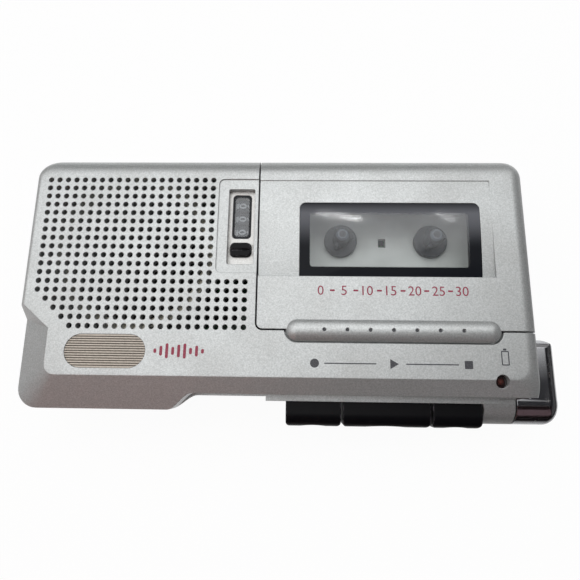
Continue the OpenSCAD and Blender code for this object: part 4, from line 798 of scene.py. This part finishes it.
class RECORDER_OT_counter(bpy.types.Operator):
    """Finishes the counter and stamps its digits on the wheels."""

    bl_idname = "recorder.counter"
    bl_label = "Counter"

    def execute(self, context):
        dress("counter_lens").visible_shadow = False
        for node in ("counter_bezel", "counter_frame", "counter_axle", "counter_worm", "counter_belt"):
            dress(node)
        dress("reset_button", "key_black", edge=0.25 * MM)
        for node in ("hundreds_wheel", "tens_wheel", "units_wheel"):
            dress(node, "wheel_black")
            self.stamp(node)
        return {"FINISHED"}

    def stamp(self, node):
        """Stamps digits round a wheel, cut into strips so that they bend with it."""
        digits = 10
        strips = 10
        weight = 0.025
        low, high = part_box(node)
        axis = (low + high) / 2
        radius = (high.z - low.z) / 2
        ring = bmesh.new()
        for number in range(digits):
            sign = glyph(str(number), sizes().digit_h, sizes().digit_w, weight)
            for cut in range(1 - strips // 2, strips // 2):
                bmesh.ops.bisect_plane(
                    sign, geom=sign.verts[:] + sign.edges[:] + sign.faces[:],
                    plane_co=(0.0, cut * sizes().digit_h / strips, 0.0), plane_no=(0.0, 1.0, 0.0))
            for vert in sign.verts:
                angle = vert.co.y / radius - math.radians(360 / digits * number)
                out = radius + sizes().film
                vert.co = Vector((
                    axis.x + out * math.sin(angle), axis.y - vert.co.x, axis.z + out * math.cos(angle)))
            join(ring, sign)
        for face in ring.faces:
            middle = face.calc_center_median() - axis
            middle.y = 0.0
            if face.normal.dot(middle) < 0:
                face.normal_flip()
        bmesh.ops.solidify(ring, geom=ring.faces[:], thickness=sizes().film)
        bmesh.ops.remove_doubles(ring, verts=ring.verts, dist=WELD)
        place_piece(ring, node + "_digits", "white_print", BODY_OF[node])


class RECORDER_OT_controls(bpy.types.Operator):
    """Finishes the keys, the lever, the lamp, the dial and the knobs."""

    bl_idname = "recorder.controls"
    bl_label = "Controls"

    def execute(self, context):
        for node in ("record_key", "play_key", "stop_key"):
            dress(node, edge=0.25 * MM)
        for name in ("record", "play", "stop"):
            self.spring("key_springs_" + name, name + "_press")
        dress("cue_lever", sharp=LEVER_CREASE)
        for node in ("lever_pin", "record_lamp", "volume_dial", "volume_control", "switch_bodies"):
            dress(node)
        for node in ("voice_knob", "speed_knob"):
            dress(node, edge=0.2 * MM)
        return {"FINISHED"}

    def spring(self, node, joint):
        """A key's spring, dressed with a mesh of its own."""
        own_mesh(dress(node))


class RECORDER_OT_sound(bpy.types.Operator):
    """Finishes the microphone, the speaker and the jacks."""

    bl_idname = "recorder.sound"
    bl_label = "Sound"

    def execute(self, context):
        for node in (
                "mic_grille", "mic_capsule", "speaker_basket", "speaker_cone", "speaker_magnet",
                "jack_panel", "earphone_jack", "microphone_jack"):
            dress(node)
        return {"FINISHED"}


class RECORDER_OT_power(bpy.types.Operator):
    """Finishes the cells, their contacts and the circuit board."""

    bl_idname = "recorder.power"
    bl_label = "Power and board"

    def execute(self, context):
        for node in ("aa_cells", "cell_contacts", "circuit_board", "board_parts"):
            dress(node)
        return {"FINISHED"}


class RECORDER_OT_deck(bpy.types.Operator):
    """Finishes the tape deck."""

    bl_idname = "recorder.deck"
    bl_label = "Tape deck"

    def execute(self, context):
        for node in (
                "deck_plate", "deck_screws", "supply_spindle", "takeup_spindle", "flywheel", "capstan",
                "capstan_bush", "drive_motor", "motor_pulley", "drive_belt", "idler_gear", "idler_post",
                "head_plate", "record_head", "erase_head", "pinch_roller"):
            dress(node)
        return {"FINISHED"}


class RECORDER_OT_prints(bpy.types.Operator):
    """Prints plain marks on the case and the lid."""

    bl_idname = "recorder.prints"
    bl_label = "Prints"

    def execute(self, context):
        self.voice_wave()
        self.tape_scale()
        self.grip_dots()
        self.key_signs()
        self.lamp_sign()
        return {"FINISHED"}

    def voice_wave(self):
        """Rising and falling bars beside the microphone."""
        first = -25.6
        pitch = 1.28
        row = -16.6 * MM
        heights = (1.0, 2.1, 3.2, 1.7, 2.7, 3.2, 1.4, 2.3, 1.0)
        print_marks("voice_wave_print", "crimson_print", "front_shell", [
            (bar(0.62 * MM, tall * MM, 0.3 * MM), (first + pitch * i) * MM, row)
            for i, tall in enumerate(heights)])

    def tape_scale(self):
        """Numbers every five steps under the window, with dashes between."""
        first = 9.8
        pitch = 5.1
        row = -3.1 * MM
        count = 7
        marks = []
        for i in range(count):
            x = (first + pitch * i) * MM
            marks.append((glyph(str(5 * i), 2.1 * MM), x, row))
            if i < count - 1:
                marks.append((bar(1.1 * MM, 0.4 * MM, 0.15 * MM), x + pitch / 2 * MM, row))
        print_marks("tape_scale_print", "crimson_print", "cassette_lid", marks)

    def grip_dots(self):
        """Painted shade in the seven dots of the grip bar."""
        middle = 25.25
        pitch = 4.9
        row = -11.75 * MM
        # Dark discs at the bottoms of the dots are painted shade
        print_marks("grip_dots_painted_shade", "dark_print", "cassette_lid", [
            (disc(0.36 * MM, 16), (middle + pitch * i) * MM, row) for i in range(-3, 4)])

    def key_signs(self):
        """Record, play and stop over their keys, joined by thin lines."""
        row = -18.8 * MM
        line = (11.0 * MM, 0.24 * MM, 0.1 * MM)
        print_marks("key_signs_print", "dark_print", "front_shell", [
            (disc(0.95 * MM, 24), 8.5 * MM, row),
            (bar(*line), 16.0 * MM, row),
            (disc(1.2 * MM, 3, -90.0), 25.0 * MM, row),
            (bar(*line), 33.2 * MM, row),
            (bar(1.7 * MM, 1.7 * MM, 0.1 * MM), 40.75 * MM, row)])

    def lamp_sign(self):
        """An upright cell beside the lamp: its ends, its sides and its pole."""
        middle = 48.4 * MM
        line = 0.22 * MM
        corner = 0.1 * MM
        print_marks("lamp_sign_print", "dark_print", "front_shell", [
            (bar(1.5 * MM, line, corner), middle, -18.7 * MM),
            (bar(1.5 * MM, line, corner), middle, -15.9 * MM),
            (bar(line, 2.9 * MM, corner), middle - 0.7 * MM, -17.3 * MM),
            (bar(line, 2.9 * MM, corner), middle + 0.7 * MM, -17.3 * MM),
            (bar(0.7 * MM, 0.4 * MM, corner), middle, -15.5 * MM)])


# Cards round the recorder that shiny pieces mirror: name, colour, size and, in degrees, turns about X and Z,
# then the place, and whether the card also takes part in the soft light. The strips lie on the floor.
CARDS = (
    ("brown_sheet", "9A645A", (0.56, 0.46), (80, 0), (-0.14, -0.17, 0.15), True),
    ("umber_sheet", "241C1D", (0.5, 0.5), (80, 0), (0.18, -0.16, 0.16), True),
    ("rose_sheet", "7A666A", (0.16, 0.15), (80, 0), (0.14, -0.157, 0.11), True),
    ("back_sheet", "2C2C2E", (0.8, 0.3), (90, 0), (0.0, 0.25, 0.1), True),
    ("pale_sheet", "C8C8C8", (0.5, 0.24), (90, 90), (-0.25, 0.0, 0.08), True),
    ("lever_sheet", "48484B", (0.38, 0.3), (0, 0), (0.29, -0.09, 0.45), False),
    ("far_sheet", "D8D8D8", (0.16, 0.26), (90, 0), (0.18, 0.19, 0.1), True),
    ("right_sheet", "2C2C2E", (0.5, 0.5), (90, 90), (0.32, -0.03, 0.2), False),
    ("brown_strip", "6E443D", (0.7, 0.22), (0, 0), (0.0, -0.14, 0.0005), False),
    ("dark_strip", "2A2A2C", (0.3, 0.26), (0, 0), (0.21, -0.04, 0.0005), False),
    ("shade_strip", "1E1A1C", (0.34, 0.26), (0, 0), (0.14, -0.14, 0.0007), False),
)


class RECORDER_OT_stage(bpy.types.Operator):
    """Sets the camera, the floor, the cards and the light."""

    bl_idname = "recorder.stage"
    bl_label = "Stage"

    def execute(self, context):
        self.camera(context)
        self.world(context)
        self.floor(context)
        self.cards(context)
        self.lamps(context)
        context.scene.view_settings.view_transform = "Standard"
        return {"FINISHED"}

    def camera(self, context):
        studio = context.scene.recorder_studio
        data = bpy.data.cameras.new("photo_camera")
        data.sensor_width = 36.0
        data.lens = studio.lens
        data.clip_start = 0.001
        camera = bpy.data.objects.new("photo_camera", data)
        context.scene.collection.objects.link(camera)
        ahead = Vector(studio.look).normalized()
        right = ahead.cross(Vector(studio.up)).normalized()
        turned = Matrix((right, right.cross(ahead), -ahead)).transposed().to_4x4()
        camera.matrix_world = Matrix.Translation(studio.eye) @ turned
        context.scene.camera = camera

    def world(self, context):
        world = bpy.data.worlds.new("studio_world")
        context.scene.world = world
        world.use_nodes = True
        t = world.node_tree
        t.nodes.clear()
        fill = add(t, "Background", {"Color": WHITE, "Strength": context.scene.recorder_studio.sky})
        white = add(t, "Background", {"Color": WHITE, "Strength": 1.0})
        mix = add(t, "MixShader", {0: self.plain_rays(t), 1: fill.outputs[0], 2: white.outputs[0]})
        add(t, "OutputWorld", {"Surface": mix.outputs[0]})

    def plain_rays(self, t):
        """Rays that see a plain white backdrop: the camera's own, and those off metal and through glass."""
        ray = add(t, "LightPath")
        seen = add(t, "Math", {
            0: ray.outputs["Is Camera Ray"], 1: ray.outputs["Is Glossy Ray"]}, operation="MAXIMUM")
        both = add(t, "Math", {
            0: seen.outputs[0], 1: ray.outputs["Is Transmission Ray"]}, operation="MAXIMUM")
        return both.outputs[0]

    def floor(self, context):
        mat = bpy.data.materials.new("white_sweep")
        mat.use_nodes = True
        t = mat.node_tree
        t.nodes.clear()
        share = add(t, "Math", {0: self.plain_rays(t), 1: 0.95}, operation="MULTIPLY")
        paper = add(t, "BsdfDiffuse", {"Color": rgba(lin("F4F4F4"))})
        white = add(t, "Emission", {"Color": WHITE, "Strength": 1.0})
        mix = add(t, "MixShader", {0: share.outputs[0], 1: paper.outputs[0], 2: white.outputs[0]})
        add(t, "OutputMaterial", {"Surface": mix.outputs[0]})
        bm = bmesh.new()
        bmesh.ops.create_grid(bm, x_segments=8, y_segments=8, size=1.5)
        bmesh.ops.translate(bm, verts=bm.verts, vec=(0.0, 0.0, -0.05 * MM))
        mesh = bpy.data.meshes.new("floor")
        bm.to_mesh(mesh)
        bm.free()
        mesh.materials.append(mat)
        floor = bpy.data.objects.new("floor", mesh)
        context.scene.collection.objects.link(floor)

    def cards(self, context):
        self.wall(context)
        for name, code, size, turns, spot, shades in CARDS:
            self.sheet(context, name, code, size, turns, spot).visible_diffuse = shades

    def wall(self, context):
        """A grey wall all round that fades out upwards."""
        mat, t, place = begin("grey_wall")
        split = add(t, "SeparateXYZ", {0: place})
        share = add(
            t, "MapRange", {"Value": split.outputs["Z"], "From Min": 0.22, "From Max": 0.08},
            interpolation_type="SMOOTHSTEP")
        self.felt(t, share.outputs[0], "6A6A6B")
        bm = bmesh.new()
        bmesh.ops.create_circle(bm, cap_ends=False, segments=48, radius=0.3)
        rise = bmesh.ops.extrude_edge_only(bm, edges=bm.edges[:])
        bmesh.ops.translate(
            bm, verts=[v for v in rise["geom"] if isinstance(v, bmesh.types.BMVert)], vec=(0.0, 0.0, 0.22))
        self.card(context, bm, mat)

    def sheet(self, context, name, code, size, turns, spot):
        """A card that fades out towards its edges."""
        mat, t, place = begin(name)
        part = add(t, "VectorMath", {0: place, 1: (size[0] / 2, size[1] / 2, 1.0)}, operation="DIVIDE")
        folded = add(t, "VectorMath", {0: part.outputs[0]}, operation="ABSOLUTE")
        split = add(t, "SeparateXYZ", {0: folded.outputs[0]})
        across = add(
            t, "MapRange", {"Value": split.outputs["X"], "From Min": 1.0, "From Max": 0.45},
            interpolation_type="SMOOTHSTEP")
        along = add(
            t, "MapRange", {"Value": split.outputs["Y"], "From Min": 1.0, "From Max": 0.45},
            interpolation_type="SMOOTHSTEP")
        share = add(t, "Math", {0: across.outputs[0], 1: along.outputs[0]}, operation="MULTIPLY")
        self.felt(t, share.outputs[0], code)
        bm = bmesh.new()
        bmesh.ops.create_grid(bm, x_segments=1, y_segments=1, size=0.5)
        bmesh.ops.scale(bm, verts=bm.verts, vec=(size[0], size[1], 1.0))
        card = self.card(context, bm, mat)
        tilt = Matrix.Rotation(math.radians(turns[0]), 4, "X")
        card.matrix_world = Matrix.Translation(spot) @ Matrix.Rotation(math.radians(turns[1]), 4, "Z") @ tilt
        return card

    def felt(self, t, share, code):
        clear = add(t, "BsdfTransparent")
        felt = add(t, "BsdfDiffuse", {"Color": rgba(lin(code))})
        mix = add(t, "MixShader", {0: share, 1: clear.outputs[0], 2: felt.outputs[0]})
        add(t, "OutputMaterial", {"Surface": mix.outputs[0]})

    def card(self, context, bm, mat):
        mesh = bpy.data.meshes.new(mat.name)
        bm.to_mesh(mesh)
        bm.free()
        mesh.materials.append(mat)
        card = bpy.data.objects.new(mat.name, mesh)
        context.scene.collection.objects.link(card)
        card.visible_camera = False
        card.visible_shadow = False
        return card

    def lamps(self, context):
        studio = context.scene.recorder_studio
        self.lamp(context, "soft_lamp", studio.lamp, (1.1, 0.6), (-0.13, 0.22, 0.6))
        # Two small lamps glint in the top of the window
        self.lamp(context, "left_glint", studio.glint, (0.055, 0.01), (0.052, 0.158, 0.44))
        self.lamp(context, "right_glint", studio.glint / 4, (0.03, 0.01), (0.178, 0.158, 0.44))

    def lamp(self, context, name, power, size, spot):
        data = bpy.data.lights.new(name, "AREA")
        data.shape = "RECTANGLE"
        data.size, data.size_y = size
        data.energy = power
        lamp = bpy.data.objects.new(name, data)
        context.scene.collection.objects.link(lamp)
        aim = Vector((0.0, 0.0, 0.02)) - Vector(spot)
        lamp.matrix_world = Matrix.Translation(spot) @ aim.to_track_quat("-Z", "Y").to_matrix().to_4x4()


class RECORDER_PT_panel(bpy.types.Panel):
    """Lists the recorder's operators."""

    bl_label = "Recorder"
    bl_idname = "RECORDER_PT_panel"
    bl_space_type = "VIEW_3D"
    bl_region_type = "UI"
    bl_category = "Recorder"

    def draw(self, context):
        for operator in OPERATORS:
            self.layout.operator(operator.bl_idname)
        scene = context.scene
        for group in (scene.recorder_sizes, scene.recorder_colours, scene.recorder_studio):
            for name in group.__annotations__:
                self.layout.prop(group, name)


OPERATORS = (
    RECORDER_OT_stage,
    RECORDER_OT_case,
    RECORDER_OT_counter,
    RECORDER_OT_controls,
    RECORDER_OT_sound,
    RECORDER_OT_power,
    RECORDER_OT_deck,
    RECORDER_OT_prints,
)
CLASSES = (RecorderColours, RecorderSizes, RecorderStudio) + OPERATORS + (RECORDER_PT_panel,)


def register():
    """Registers the classes and the recorder's settings."""
    for cls in CLASSES:
        bpy.utils.register_class(cls)
    bpy.types.Scene.recorder_colours = bpy.props.PointerProperty(type=RecorderColours)
    bpy.types.Scene.recorder_sizes = bpy.props.PointerProperty(type=RecorderSizes)
    bpy.types.Scene.recorder_studio = bpy.props.PointerProperty(type=RecorderStudio)


def unregister():
    """Removes the settings and the classes."""
    del bpy.types.Scene.recorder_studio
    del bpy.types.Scene.recorder_sizes
    del bpy.types.Scene.recorder_colours
    for cls in reversed(CLASSES):
        bpy.utils.unregister_class(cls)


def main():
    register()
    bpy.ops.recorder.stage()
    bpy.ops.recorder.case()
    bpy.ops.recorder.counter()
    bpy.ops.recorder.controls()
    bpy.ops.recorder.sound()
    bpy.ops.recorder.power()
    bpy.ops.recorder.deck()
    bpy.ops.recorder.prints()
    bpy.context.view_layer.update()


if __name__ == "__main__":
    main()
